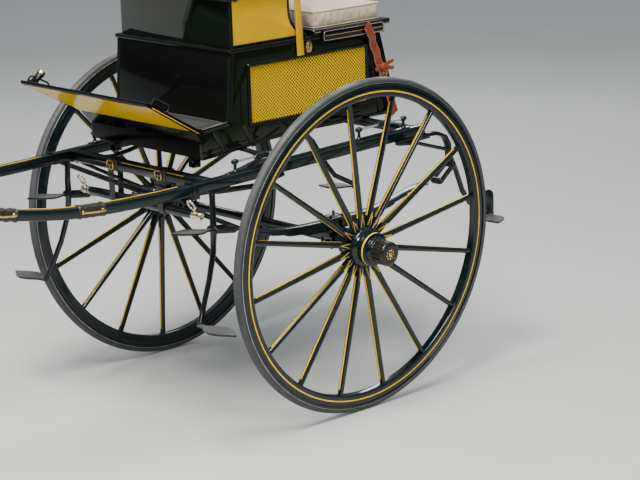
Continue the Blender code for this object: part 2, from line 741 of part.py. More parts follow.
def front_step_iron(side, sign):
    line = [(sign * (SPRING_X + out), behind(y), z, share) for out, y, z, share in IRON_LINE]
    iron = tube(f"front_step_iron_{side}", IRON, line, IRON_RADIUS)
    under = shaft_under(BEND_Y) - GAP
    foot_y = BEND_Y + 0.006 + FOOT_LENGTH / 2
    foot = box(
        f"iron_foot_{side}",
        IRON,
        (SHAFT_WIDTH, FOOT_LENGTH, FOOT_THICKNESS),
        (sign * SHAFT_X, behind(foot_y), shaft_under(foot_y) - GAP - FOOT_THICKNESS / 2),
        (SHAFT_SLOPE, 0, 0),
    )
    reach = SPRING_WIDTH / 2
    boss = rod(
        f"iron_boss_{side}",
        IRON,
        (sign * SPRING_X - reach, behind(BOSS_Y), BOSS_Z),
        (sign * SPRING_X + reach, behind(BOSS_Y), BOSS_Z),
        EYE_RADIUS,
    )
    upper = tread(f"upper_tread_{side}", UPPER_TREAD_LENGTH)
    root = Matrix.Translation((sign * SPRING_X, behind(BOSS_Y), BOSS_Z))
    forward = Matrix.Rotation(-math.pi / 2, 4, "Z")
    upper.matrix_world = root @ forward @ Matrix.Rotation(-UPPER_TREAD_RISE, 4, "Y")
    end = IRON_LINE[-1]
    lower = tread(f"lower_tread_{side}", LOWER_TREAD_LENGTH)
    place = Matrix.Translation((sign * (SPRING_X + end[0] - 0.006), behind(end[1]), end[2] + 0.001))
    lower.matrix_world = place @ outward(sign)
    stay_end = BEND_Y + 0.41
    stay = tube(
        f"shaft_stay_{side}",
        IRON,
        [
            (sign * SHAFT_X, behind(BEND_Y + 0.045), under - STAY_RADIUS),
            (sign * SHAFT_X, behind(BEND_Y + 0.13), under - 0.017),
            (sign * SHAFT_X, behind(BEND_Y + 0.25), under - 0.024),
            (sign * SHAFT_X, behind(BEND_Y + 0.34), shaft_under(BEND_Y + 0.34) - 0.022),
            (sign * SHAFT_X, behind(stay_end), shaft_under(stay_end) - 2 * GAP - STAY_RADIUS),
        ],
        STAY_RADIUS,
    )
    bore = rod(
        f"iron_bore_{side}",
        IRON,
        (sign * SPRING_X - reach - BORE_OVERRUN, behind(BOSS_Y), BOSS_Z),
        (sign * SPRING_X + reach + BORE_OVERRUN, behind(BOSS_Y), BOSS_Z),
        EYE_BORE,
    )
    combine(combine(iron, [foot, boss, upper, lower, stay]), [bore], "DIFFERENCE")


# Rear irons: a curved spring hanger on each shaft end, its strut and the rear step

HANGER_WIDTH = 0.030
HANGER_THICKNESS = 0.016
HANGER_TOP = 1.092
HOOK_DROPS = ((0.640, 0.004), (0.690, 0.026), (0.712, 0.062), (0.716, 0.102), (0.718, 0.137))
STRUT_RADIUS = 0.0085
# The band that carries the rear step: distance outwards from the spring's middle, share of
# its way back from the hanger to the tread, z
STEP_BAND = [
    (0.000, 0.000, 0.965),
    (-0.022, 0.180, 0.900),
    (-0.040, 0.390, 0.785),
    (-0.047, 0.570, 0.717),
    (-0.048, 1.000, 0.652),
]
BAND_TOP_Y = HANGER_EYE[0] + 0.006
BAND_FOOT_Y = REAR_REACH - 0.023
RISER = (0.050, 0.122)
RISER_THICKNESS = 0.007
REAR_TREAD_LENGTH = 0.185
REAR_TREAD_Z = 0.640
REAR_TREAD_TURN = math.radians(33)


def rear_iron(side, sign):
    x = sign * SPRING_X
    rear = SHAFT_REAR + 0.002 + HANGER_THICKNESS / 2
    foot = [(y, shaft_under(y) - GAP - HANGER_THICKNESS / 2) for y in (0.40, rear + HANGER_THICKNESS / 2)]
    under = foot[-1][1]
    back = [(rear, under), (rear, HANGER_TOP)]
    hook = [(rear - HANGER_THICKNESS / 2, HANGER_TOP)]
    hook += [(y, HANGER_TOP - drop) for y, drop in HOOK_DROPS]
    hook.append(HANGER_EYE)
    hanger, *bars = [
        plate(name, IRON, [strip(from_axle(line), HANGER_THICKNESS)], HANGER_WIDTH, (x, 0, 0))
        for name, line in (
            (f"rear_iron_{side}", hook),
            (f"hanger_back_{side}", back),
            (f"hanger_foot_{side}", foot),
        )
    ]
    line = [(0.420, foot[0][1] - 0.004), (0.52, HANGER_TOP - 0.030), (0.62, HANGER_TOP - 0.062)]
    line.append((0.713, HANGER_TOP - 0.090))
    strut = tube(f"hanger_strut_{side}", IRON, [(x, behind(y), z) for y, z in line], STRUT_RADIUS)
    reach = SPRING_WIDTH / 2
    ends = [(sign * SPRING_X + face * reach, behind(HANGER_EYE[0]), HANGER_EYE[1]) for face in (-1, 1)]
    boss = rod(f"hanger_boss_{side}", IRON, *ends, EYE_RADIUS)
    line = [
        (sign * (SPRING_X + out), behind(BAND_TOP_Y + (BAND_FOOT_Y - BAND_TOP_Y) * share), z)
        for out, share, z in STEP_BAND
    ]
    band = tube(f"rear_step_band_{side}", IRON, line, IRON_RADIUS)
    foot_x = SPRING_X + STEP_BAND[-1][0]
    half = RISER[0] / 2
    low = REAR_TREAD_Z - 0.006
    outline = [(-half, low), (half, low)] + arc((0, low + RISER[1] - half), half, 0, 180, 7)
    turn = outward(sign) @ Matrix.Rotation(-sign * REAR_TREAD_TURN, 4, "Z")
    place = Matrix.Translation((sign * foot_x, behind(BAND_FOOT_Y), 0)) @ turn
    riser = plate(f"step_riser_{side}", IRON, [outline], RISER_THICKNESS, (0, 0, 0), UPRIGHT)
    riser.matrix_world = place @ Matrix.Rotation(math.pi / 2, 4, "Z") @ UPRIGHT
    step = tread(f"rear_tread_{side}", REAR_TREAD_LENGTH)
    step.matrix_world = place @ Matrix.Translation((-0.002, 0, REAR_TREAD_Z))
    through = reach + BORE_OVERRUN
    ends = [(sign * SPRING_X + face * through, behind(HANGER_EYE[0]), HANGER_EYE[1]) for face in (-1, 1)]
    bore = rod(f"hanger_bore_{side}", IRON, *ends, EYE_BORE)
    combine(combine(hanger, [*bars, strut, boss, band, riser, step]), [bore], "DIFFERENCE")


# Slide rails on the shafts: a base strap with four eye posts and two polished rods

ROD_RADIUS = 0.0055
ROD_LIFT = 0.0455
POST_RADIUS = 0.0080
POST_EYE = 0.0130
POST_EYE_HALF = 0.011
POSTS = ((-0.510, -0.232), (0.190, 0.458))
SLEEVES = (-0.367, 0.335)
SLEEVE_RADIUS = 0.0140
SLEEVE_LENGTH = 0.066
BASE_THICKNESS = 0.006
BASE_WIDTH = 0.026


def rod_point(sign, y):
    """A point on the axis of a slide rod; the rods run parallel to the shafts."""
    return (sign * SHAFT_X, behind(y), shaft_top(y) + ROD_LIFT)


def slide_rail(side, sign):
    first, last = POSTS[0][0] - 0.030, POSTS[1][1] + 0.030
    line = [(y, shaft_top(y) + GAP) for y in (first, last)]
    high = [(y, z + BASE_THICKNESS) for y, z in line]
    outline = from_axle(line + high[::-1])
    base = plate(f"slide_rail_{side}", STEEL, [outline], BASE_WIDTH, (sign * SHAFT_X, 0, 0))
    shapes = []
    for i, (front, rear) in enumerate(POSTS):
        ends = [rod_point(sign, front), rod_point(sign, rear)]
        shapes.append(rod(f"slide_rod_{side}_{i}", STEEL, *ends, ROD_RADIUS))
        for j, y in enumerate((front, rear)):
            foot = (sign * SHAFT_X, behind(y), shaft_top(y) + GAP + 0.002)
            shapes.append(rod(f"slide_post_{side}_{i}_{j}", STEEL, foot, rod_point(sign, y), POST_RADIUS, 8))
            ends = [rod_point(sign, y + reach) for reach in (-POST_EYE_HALF, POST_EYE_HALF)]
            shapes.append(rod(f"slide_eye_{side}_{i}_{j}", STEEL, *ends, POST_EYE))
    combine(base, shapes)


for side, sign in SIDES:
    spring(side, sign)
    shackle("front_shackle", side, sign, (BOSS_Y, BOSS_Z), FRONT_EYE)
    shackle("rear_shackle", side, sign, REAR_EYE, HANGER_EYE)
    shaft(side, sign)
    front_step_iron(side, sign)
    rear_iron(side, sign)
    slide_rail(side, sign)
    spring_seat(side, sign)
front_cross_bar()
rear_cross_bar()


# Swingle bar: the trace bar that swings under the front cross bar in two leather hangers

SWINGLE_RADIUS = 0.0205
SWINGLE_HALF = SHAFT_X - 0.128
SWINGLE_Z = 0.930
FERRULE_RADIUS = 0.0175
FERRULE_LENGTH = 0.056
RING_MAJOR = 0.0145
RING_MINOR = 0.0048
RING_HEIGHT = 0.064
RING_SET_IN = 0.034
HANGER_X = 0.165
HANGER_STRAP_WIDTH = 0.040
HANGER_STRAP_WALL = 0.0040

SWINGLE_GROUP = guide("swingle_axis", Matrix.Translation((0, behind(CROSS_BAR_Y), CROSS_BAR_Z)))
SWINGLE_DROP = CROSS_BAR_Z - SWINGLE_Z


def swingle_bar():
    neck = SWINGLE_RADIUS * 0.84
    profile = [(0, SWINGLE_HALF), (neck, SWINGLE_HALF), (SWINGLE_RADIUS, SWINGLE_HALF - 0.09)]
    profile += [(SWINGLE_RADIUS, 0.09 - SWINGLE_HALF), (neck, -SWINGLE_HALF), (0, -SWINGLE_HALF)]
    bar = turned("swingle_bar", GREEN, profile, 16, closed=False)
    bar.matrix_world = Matrix.Translation((0, 0, -SWINGLE_DROP)) @ Matrix.Rotation(math.pi / 2, 4, "Y")
    bar.parent = SWINGLE_GROUP


def trace_hook(side, sign):
    start = SWINGLE_HALF + GAP
    end = start + FERRULE_LENGTH
    ferrule = rod(
        f"trace_hook_{side}",
        STEEL,
        (sign * start, 0, -SWINGLE_DROP),
        (sign * end, 0, -SWINGLE_DROP),
        FERRULE_RADIUS,
        16,
    )
    ring_x = sign * (end - RING_SET_IN)
    ring_z = RING_HEIGHT - SWINGLE_DROP
    stem = rod(
        f"hook_stem_{side}",
        BRASS,
        (sign * (end - 0.016), 0, -SWINGLE_DROP),
        (ring_x + sign * RING_MAJOR * 0.6, 0, ring_z - RING_MAJOR * 0.85),
        0.0070,
        8,
        end_radius=0.0055,
    )
    ring = torus(f"hook_ring_{side}", BRASS, (ring_x, 0, ring_z), RING_MAJOR, RING_MINOR, (math.pi / 2, 0, 0))
    combine(ferrule, [stem, ring], holder=SWINGLE_GROUP)


def hanger_strap(side, sign):
    """A leather loop round the cross bar and the swingle bar."""
    bar_rear = CROSS_BAR_Y + CROSS_BAR_DEPTH / 2
    low, high = CROSS_BAR_Z - CROSS_BAR_HEIGHT / 2, CROSS_BAR_TOP

    def loop(grow):
        drop = arc((CROSS_BAR_Y, SWINGLE_Z), SWINGLE_RADIUS + grow, -180, 0, 9)
        rear = [(bar_rear + grow, low + 0.004), (bar_rear + grow, high - 0.002)]
        rear.append((bar_rear - 0.002, high + grow))
        front = [(2 * CROSS_BAR_Y - y, z) for y, z in rear[::-1]]
        return from_axle(drop + rear + front)

    plate(
        f"hanger_strap_{side}",
        DARK_LEATHER,
        [loop(GAP + HANGER_STRAP_WALL), loop(GAP)[::-1]],
        HANGER_STRAP_WIDTH,
        (sign * HANGER_X, 0, 0),
    )


swingle_bar()
for side, sign in SIDES:
    trace_hook(side, sign)
    hanger_strap(side, sign)


# Body: slides on the rods for balance; floor, foot well, panels, rim and tailboard

BODY_GROUP = guide("body_slide_axis", Matrix.Translation((0, AXLE_Y, SHAFT_TOP + ROD_LIFT)))
WALL = 0.018
FLOOR_THICKNESS = 0.016
FOOT_FLOOR_TOP = 1.282
FOOT_FRONT = -0.597
PANEL_FOOT = -0.452
PANEL_TOP_Y = -0.428
RIM_Z = 1.572
RIM_HEIGHT = 0.018
RIM_PROUD = 0.009
RIM_WIDTH = 0.030
SEAT_OVERHANG = 0.003
TAIL_TOP_Y = 0.418
TAIL_FOOT_Y = 0.520
TAIL_FOOT_Z = 1.192
# Underside of the side panels, front to rear
BODY_UNDER = [(FOOT_FRONT, 1.152), (-0.43, 1.163), (-0.22, 1.182), (0.0, 1.190)]
BODY_UNDER.append((TAIL_FOOT_Y, TAIL_FOOT_Z - 0.004))
FLOOR_LIFT = 0.004
CANE_FRONT, CANE_REAR = -0.325, 0.335
CANE_LOW, CANE_HIGH = 1.268, 1.503
CANE_THICKNESS = 0.005
CANE_SET_IN = 0.007

SIDE_IN = BODY_WIDTH / 2 - WALL
INSIDE = 2 * (SIDE_IN - GAP)


def floor_under(y):
    """Height of the boot floor's underside, which lies a little above the panels' lower edge."""
    return along(BODY_UNDER, y) + FLOOR_LIFT


def rigid(made):
    """Hangs a piece that is placed in the cart's own coordinates on the sliding body."""
    made.parent = BODY_GROUP
    made.matrix_parent_inverse = BODY_GROUP.matrix_world.inverted()
    return made


def side_panel(side, sign):
    outline = BODY_UNDER + [(TAIL_FOOT_Y + 0.004, TAIL_FOOT_Z), (TAIL_TOP_Y + 0.004, RIM_Z)]
    outline += [(PANEL_TOP_Y, RIM_Z), (PANEL_FOOT, FOOT_FLOOR_TOP), (FOOT_FRONT, FOOT_FLOOR_TOP - 0.012)]
    x = sign * (BODY_WIDTH - WALL) / 2
    panel = plate(f"side_panel_{side}", BLACK, [from_axle(outline)], WALL, (x, 0, 0))
    depth = CANE_SET_IN
    pocket = box(
        f"cane_pocket_{side}",
        BLACK,
        (2 * depth, CANE_REAR - CANE_FRONT, CANE_HIGH - CANE_LOW),
        (sign * BODY_WIDTH / 2, behind((CANE_FRONT + CANE_REAR) / 2), (CANE_LOW + CANE_HIGH) / 2),
    )
    rigid(combine(panel, [pocket], "DIFFERENCE"))
    cane = box(
        f"cane_panel_{side}",
        YELLOW,
        (CANE_THICKNESS, CANE_REAR - CANE_FRONT - 2 * GAP, CANE_HIGH - CANE_LOW - 2 * GAP),
        (
            sign * (BODY_WIDTH / 2 - depth + GAP + CANE_THICKNESS / 2),
            behind((CANE_FRONT + CANE_REAR) / 2),
            (CANE_LOW + CANE_HIGH) / 2,
        ),
    )
    rigid(cane)


def boot_floor():
    """The bottom board, from the foot well's front board to the tailboard."""
    stations = [FOOT_FRONT + WALL + GAP] + [y for y, _ in BODY_UNDER[1:-1]] + [TAIL_FOOT_Y - WALL - 0.006]
    under = [(y, floor_under(y)) for y in stations]
    over = [(y, z + FLOOR_THICKNESS) for y, z in under]
    rigid(plate("boot_floor", BLACK, [from_axle(under + over[::-1])], INSIDE, (0, 0, 0)))


def foot_well():
    """The foot floor and the front board under it, one angled piece."""
    top = FOOT_FLOOR_TOP - GAP
    front_top = top - 0.012
    low = floor_under(FOOT_FRONT)
    rear = PANEL_FOOT - GAP
    outline = [(FOOT_FRONT, low), (FOOT_FRONT + WALL, low), (FOOT_FRONT + WALL, front_top - FLOOR_THICKNESS)]
    outline += [(rear, top - FLOOR_THICKNESS), (rear, top), (FOOT_FRONT, front_top)]
    rigid(plate("foot_well", BLACK, [from_axle(outline)], INSIDE, (0, 0, 0)))


def front_panel():
    """The tall panel behind the driver's feet; it runs down to the boot floor."""
    rear = PANEL_FOOT + WALL
    low, rear_low = (floor_under(y) + FLOOR_THICKNESS + 2 * GAP for y in (PANEL_FOOT, rear))
    outline = [(PANEL_FOOT, low), (rear, rear_low), (rear, FOOT_FLOOR_TOP)]
    outline += [(PANEL_TOP_Y + WALL, RIM_Z - GAP), (PANEL_TOP_Y, RIM_Z - GAP), (PANEL_FOOT, FOOT_FLOOR_TOP)]
    rigid(plate("front_panel", BLACK, [from_axle(outline)], INSIDE, (0, 0, 0)))


TOE_HALF = BODY_WIDTH / 2 + 0.060
TOE_FOOT_HALF = BODY_WIDTH / 2 + 0.008
TOE_THICKNESS = 0.020
TOE_LOW = (FOOT_FRONT - GAP, 1.276)
TOE_HIGH = (-0.903, 1.4435)
MAT_THICKNESS = 0.006
RAIL_RADIUS = 0.0045
RAIL_HEIGHT = 0.034

TOE_LENGTH = math.hypot(TOE_HIGH[0] - TOE_LOW[0], TOE_HIGH[1] - TOE_LOW[1])
TOE_DIRECTION = ((TOE_HIGH[0] - TOE_LOW[0]) / TOE_LENGTH, (TOE_HIGH[1] - TOE_LOW[1]) / TOE_LENGTH)
TOE_NORMAL = (TOE_DIRECTION[1], -TOE_DIRECTION[0])


def on_toe(share, lift):
    """A (y, z) point on the toe board: share of its length from the floor, lift above its top."""
    return (
        TOE_LOW[0] + TOE_DIRECTION[0] * TOE_LENGTH * share + TOE_NORMAL[0] * lift,
        TOE_LOW[1] + TOE_DIRECTION[1] * TOE_LENGTH * share + TOE_NORMAL[1] * lift,
    )


def toe_half(share):
    """Half the toe board's width, wider towards its top."""
    return TOE_FOOT_HALF + (TOE_HALF - TOE_FOOT_HALF) * share


def toe_board():
    """The sloping board with its grab rails at both ends."""
    deep = 0.7 * TOE_THICKNESS
    outline = [TOE_LOW, on_toe(1, 0), on_toe(1.01, -deep / 2), on_toe(0.99, -deep)]
    outline += [on_toe(0.10, -TOE_THICKNESS), (TOE_LOW[0], TOE_LOW[1] - 0.052)]
    board = as_mesh(plate("toe_board", YELLOW, [from_axle(outline)], 2 * TOE_HALF, (0, 0, 0)))
    for vert in board.data.vertices:
        share = (behind(TOE_LOW[0]) - vert.co.x) / (TOE_LOW[0] - TOE_HIGH[0])
        vert.co.z *= toe_half(min(share, 1)) / TOE_HALF
    rails = []
    for side, sign in SIDES:
        path = [(0.65, -0.004), (0.65, RAIL_HEIGHT * 0.8), (0.68, RAIL_HEIGHT), (0.90, RAIL_HEIGHT)]
        path += [(0.93, RAIL_HEIGHT * 0.8), (0.94, -0.004)]
        line = [(sign * (toe_half(share) - 0.010), *on_toe(share, lift)) for share, lift in path]
        rails.append(tube(f"toe_rail_{side}", STEEL, [(x, behind(y), z) for x, y, z in line], RAIL_RADIUS, 1))
    rigid(combine(board, rails))


def foot_mat():
    """The mat over the foot floor and up the toe board."""
    wide = 2 * (SIDE_IN - 0.006)
    rear, low = PANEL_FOOT - 0.004, FOOT_FLOOR_TOP + GAP
    line = [(rear, low), (FOOT_FRONT + 0.03, low - 0.006), on_toe(0.05, 0.0006), on_toe(0.86, 0.0006)]
    high = [(rear, low + MAT_THICKNESS), (FOOT_FRONT + 0.03, low - 0.006 + MAT_THICKNESS)]
    high += [on_toe(0.05, 0.0006 + MAT_THICKNESS), on_toe(0.86, 0.0006 + MAT_THICKNESS)]
    rigid(plate("foot_mat", MAT, [from_axle(line + high[::-1])], wide, (0, 0, 0)))


def body_rim():
    """The moulding on the top edge of the front and side panels."""
    outer, inner = BODY_WIDTH / 2 + RIM_PROUD, BODY_WIDTH / 2 + RIM_PROUD - RIM_WIDTH
    front, rear = behind(PANEL_TOP_Y - RIM_PROUD), behind(TAIL_TOP_Y + 0.004)
    outline = [(-outer, rear), (-outer, front), (outer, front), (outer, rear), (inner, rear)]
    outline += [(inner, front + RIM_WIDTH), (-inner, front + RIM_WIDTH), (-inner, rear)]
    rigid(plate("body_rim", BLACK, [outline], RIM_HEIGHT, (0, 0, RIM_Z + GAP + RIM_HEIGHT / 2), FLAT))


HINGE_RADIUS = 0.008
TAIL_EASE = 0.006
TAIL_GROUP = guide(
    "tailboard_hinge", Matrix.Translation((0, behind(TAIL_FOOT_Y - WALL / 2), TAIL_FOOT_Z + HINGE_RADIUS))
)
rigid(TAIL_GROUP)
bpy.context.view_layer.update()


def tailboard():
    """The board that drops on its lower edge to make the rear footboard."""
    wide = 2 * (SIDE_IN - GAP)
    rounded = arc((TAIL_FOOT_Y - WALL / 2, TAIL_FOOT_Z + HINGE_RADIUS), WALL / 2, 190, 350, 6)
    top = RIM_Z - TAIL_EASE
    outline = rounded + [(TAIL_TOP_Y, top), (TAIL_TOP_Y - WALL, top)]
    board = as_mesh(plate("tailboard", BLACK, [from_axle(outline)], wide, (0, 0, 0)))
    board.parent = TAIL_GROUP
    board.matrix_parent_inverse = TAIL_GROUP.matrix_world.inverted()


STRAP_LINE = [(0.312, 1.612), (0.330, 1.586), (0.359, 1.531), (0.403, 1.424), (0.477, 1.229), (0.494, 1.185)]
STRAP_WIDTH = 0.040
STRAP_WALL = 0.007
TIE_LINE = [(0.372, 1.405), (0.415, 1.411), (0.455, 1.420), (0.484, 1.431)]
TIE_WIDTH = 0.020
TIE_WALL = 0.006
TIE_LIFT = 0.0055


def tailboard_strap(side, sign):
    """A leather strap down the rear of each side, with its buckled cross strap."""
    x = BODY_WIDTH / 2 + RIM_PROUD + SEAT_OVERHANG + GAP + STRAP_WALL / 2
    shapes = []
    for name, line, wide, wall, lift in (
        ("tailboard_strap", STRAP_LINE, STRAP_WIDTH, STRAP_WALL, 0.0),
        ("strap_tie", TIE_LINE, TIE_WIDTH, TIE_WALL, TIE_LIFT),
    ):
        outline = strip(from_axle(line), wide)
        shapes.append(plate(f"{name}_{side}", LEATHER, [outline], wall, (sign * (x + lift), 0, 0)))
    rigid(combine(shapes[0], shapes[1:]))


SOCKET_RADIUS = 0.0155
SOCKET_BORE = 0.0110
SOCKET_LENGTH = 0.058
SOCKET_FOOT = (0.030, 0.040, 0.012)
SOCKET_SHARE = 0.90
SOCKET_X = 0.040 - TOE_HALF
SOCKET_LEAN = math.radians(52)


def whip_socket():
    """A tube that stands on the toe board, leaning back, with a foot screwed down."""
    bottom = SOCKET_LENGTH * 0.12
    profile = [(SOCKET_BORE, SOCKET_LENGTH), (SOCKET_RADIUS + 0.003, SOCKET_LENGTH)]
    profile += [(SOCKET_RADIUS + 0.003, SOCKET_LENGTH - 0.014), (SOCKET_RADIUS, SOCKET_LENGTH - 0.016)]
    profile += [(SOCKET_RADIUS, 0), (0, 0)]
    profile = [(0, bottom), (SOCKET_BORE, bottom)] + profile
    pipe = turned("whip_socket", BLACK, profile, 16, closed=False)
    y, z = on_toe(SOCKET_SHARE, 0.0105)
    lean = Matrix.Rotation(-SOCKET_LEAN, 4, "X")
    pipe.matrix_world = Matrix.Translation((SOCKET_X, behind(y), z)) @ lean
    y, z = on_toe(SOCKET_SHARE, SOCKET_FOOT[2] / 2 + GAP)
    slope = math.atan2(TOE_DIRECTION[1], -TOE_DIRECTION[0])
    foot = box("socket_foot", BLACK, SOCKET_FOOT, (SOCKET_X, behind(y), z), (-slope, 0, 0))
    rigid(combine(pipe, [foot]))


for side, sign in SIDES:
    side_panel(side, sign)
    tailboard_strap(side, sign)
boot_floor()
foot_well()
front_panel()
toe_board()
foot_mat()
body_rim()
tailboard()
whip_socket()


# Bearers: an iron strap under each side of the body with the two sleeves that ride the rods

BEARER_X = BODY_WIDTH / 2 - 0.040
BEARER_WIDTH = 0.030
BEARER_THICKNESS = 0.012
BEARER_ARM = 0.034
BEARER_ARM_THICKNESS = 0.009
SLEEVE_BORE = 0.0064


def slide_bearer(side, sign):
    first, last = SLEEVES[0] - 0.04, SLEEVES[1] + 0.04
    stations = [first] + [y for y, _ in BODY_UNDER if first < y < last] + [last]
    line = [(y, floor_under(y) - GAP) for y in stations]
    low = [(y, z - BEARER_THICKNESS) for y, z in line]
    outline = from_axle(low + line[::-1])
    bearer = plate(f"slide_bearer_{side}", IRON, [outline], BEARER_WIDTH, (sign * BEARER_X, 0, 0))
    shapes, bores = [], []
    for i, y in enumerate(SLEEVES):
        z = floor_under(y - BEARER_ARM / 2) - FLOOR_LIFT - 2 * GAP - BEARER_ARM_THICKNESS / 2
        line = [(BEARER_X - 0.010, z), (BODY_WIDTH / 2 + 0.006, z), (SHAFT_X, rod_point(sign, y)[2])]
        path = strip([(sign * x, z) for x, z in line], BEARER_ARM_THICKNESS)
        arm = plate(f"bearer_arm_{side}_{i + 1}", IRON, [path], BEARER_ARM, (0, behind(y), 0), UPRIGHT)
        half = SLEEVE_LENGTH / 2
        ends = [rod_point(sign, y + face * half) for face in (-1, 1)]
        longer = [rod_point(sign, y + face * (half + 0.02)) for face in (-1, 1)]
        shapes += [arm, rod(f"sleeve_{side}_{i + 1}", GREEN, *ends, SLEEVE_RADIUS, 16)]
        bores.append(rod(f"sleeve_bore_{side}_{i + 1}", GREEN, *longer, SLEEVE_BORE, 16))
    rigid(combine(combine(bearer, shapes), bores, "DIFFERENCE"))


for side, sign in SIDES:
    slide_bearer(side, sign)


# Driver's seat: yellow sides and dark front, board, cushion, yellow posts with arms, padded rest

SEAT_FRONT = -0.408
SEAT_REAR = -0.085
SEAT_BASE_REAR = 0.012
SEAT_BASE_Z = RIM_Z + RIM_HEIGHT + 2 * GAP
SEAT_TOP_Z = 1.790
SEAT_WALL = 0.016
SEAT_SIDE_X = BODY_WIDTH / 2 - 0.012
BOARD_THICKNESS = 0.018
DRIVER_BOARD = (BODY_WIDTH + 0.010, 0.430)
DRIVER_CUSHION = (BODY_WIDTH - 0.016, 0.410, 0.085)
ARM_RAIL_RADIUS = 0.0075
POST_WIDTH = 0.034
POST_THICKNESS = 0.008
POST_Y = -0.052
POST_LEAN = 0.018
POST_FOOT_Z = 1.508
ARM_Z = 1.985
REST_Y = -0.006
REST_Z = 2.055
REST_SECTION = (0.046, 0.100)
REST_SET_IN = 0.010
POST_X = BODY_WIDTH / 2 + RIM_PROUD + GAP + POST_THICKNESS / 2
BELLY = 0.022


def driver_seat_box():
    """Three walls that carry the driver's seat board; the rear stays open to the boot."""
    side_outline = [(SEAT_FRONT, SEAT_BASE_Z), (SEAT_BASE_REAR, SEAT_BASE_Z), (-0.042, SEAT_BASE_Z + 0.030)]
    side_outline += [(-0.075, SEAT_BASE_Z + 0.070), (SEAT_REAR, SEAT_BASE_Z + 0.120), (SEAT_REAR, SEAT_TOP_Z)]
    side_outline += [(SEAT_FRONT, SEAT_TOP_Z)]
    walls = [
        plate(
            f"seat_side_{side}",
            YELLOW,
            [from_axle(side_outline)],
            SEAT_WALL,
            (sign * (SEAT_SIDE_X - SEAT_WALL / 2), 0, 0),
        )
        for side, sign in SIDES
    ]
    deep = DRIVER_BOARD[1]
    board = box(
        "driver_seat_board",
        BLACK,
        (DRIVER_BOARD[0], deep, BOARD_THICKNESS),
        (0, behind(SEAT_FRONT - 0.030 + deep / 2), SEAT_TOP_Z + BOARD_THICKNESS / 2 - 0.002),
    )
    front = box(
        "driver_seat_box",
        BLACK,
        (2 * SEAT_SIDE_X - 0.004, SEAT_WALL, SEAT_TOP_Z - SEAT_BASE_Z),
        (0, behind(SEAT_FRONT + SEAT_WALL / 2 - 0.004), (SEAT_TOP_Z + SEAT_BASE_Z) / 2),
    )
    rigid(combine(front, [*walls, board]))


def cushion(name, finish, size, centre, crown, pull, slope=0.0, cuts=5):
    """A stuffed pad: crowned on top, its sides drawn in between the corners, its bottom flat."""
    bm = bmesh.new()
    bmesh.ops.create_cube(bm, size=2)
    bmesh.ops.subdivide_edges(bm, edges=bm.edges, cuts=cuts, use_grid_fill=True)
    a, b, c = (value / 2 for value in size)
    for vert in bm.verts:
        u, v, w = vert.co
        swell = (1 - u**4) * (1 - v**4)
        across = 1 - pull * (1 - v * v) * abs(u) ** 3
        deep = 1 - pull * (1 - u * u) * abs(v) ** 3
        belly = 1 + BELLY * (1 - w * w)
        corner = 1 - 0.030 * abs(u * v) ** 3
        x = u * a * across * belly * corner
        y = v * b * deep * belly * corner
        z = w * c
        if w > -1:
            z += crown * swell * (w + 1) / 2 + slope * (v + 1) / 2 * (w + 1) / 2
        vert.co = (x, y, z)
    made = from_bmesh(name, bm, finish)
    made.location = centre
    return rigid(made)


def driver_cushion():
    wide, deep, high = DRIVER_CUSHION
    base = SEAT_TOP_Z + BOARD_THICKNESS - 0.002 + GAP
    cushion(
        "driver_cushion",
        CLOTH,
        DRIVER_CUSHION,
        (0, behind(SEAT_FRONT - 0.026 + deep / 2), base + high / 2),
        0.018,
        0.018,
        slope=0.030,
    )


def seat_arm(side, sign):
    """A flat yellow post up the body's side and the iron arm that runs back to the rest."""
    half, head = POST_WIDTH / 2, POST_WIDTH * 0.35
    head_y = POST_Y - POST_LEAN
    outline = [(POST_Y - half, POST_FOOT_Z), (POST_Y + half, POST_FOOT_Z)]
    outline += [(head_y + head, ARM_Z), (head_y - head, ARM_Z)]
    post = plate(f"seat_arm_{side}", YELLOW, [from_axle(outline)], POST_THICKNESS, (sign * POST_X, 0, 0))
    arm = tube(
        f"arm_rail_{side}",
        IRON,
        [
            (sign * POST_X, behind(-0.400), SEAT_TOP_Z - 0.004),
            (sign * (POST_X + 0.020), behind(-0.400), SEAT_TOP_Z + 0.060),
            (sign * (POST_X + 0.022), behind(-0.360), ARM_Z - 0.035),
            (sign * (POST_X + 0.016), behind(-0.300), ARM_Z - 0.008),
            (sign * (POST_X + 0.004), behind(-0.150), ARM_Z - 0.004),
            (sign * POST_X, behind(-0.050), ARM_Z - 0.002),
            (sign * (POST_X - REST_SET_IN), behind(-0.012), ARM_Z + 0.030),
            (sign * (POST_X - REST_SET_IN), behind(0.000), REST_Z + 0.030),
        ],
        ARM_RAIL_RADIUS,
    )
    rigid(combine(post, [arm]))


def seat_rest():
    """The padded rail behind the driver."""
    half = (POST_X - REST_SET_IN - ARM_RAIL_RADIUS - GAP) / (1 + BELLY)
    centre = (0, behind(REST_Y), REST_Z)
    cushion("seat_rest", DARK_LEATHER, (2 * half, *REST_SECTION), centre, 0.0, 0.0, cuts=3)


REAR_SEAT = (BODY_WIDTH + 2 * (RIM_PROUD + SEAT_OVERHANG), 0.450)
REAR_SEAT_Y = 0.255
REAR_BOARD_THICKNESS = 0.022
REAR_BOX = (0.012, 0.212, 0.050)
REAR_BOX_Y = 0.178
REAR_CUSHION = (BODY_WIDTH - 0.020, 0.410, 0.072)


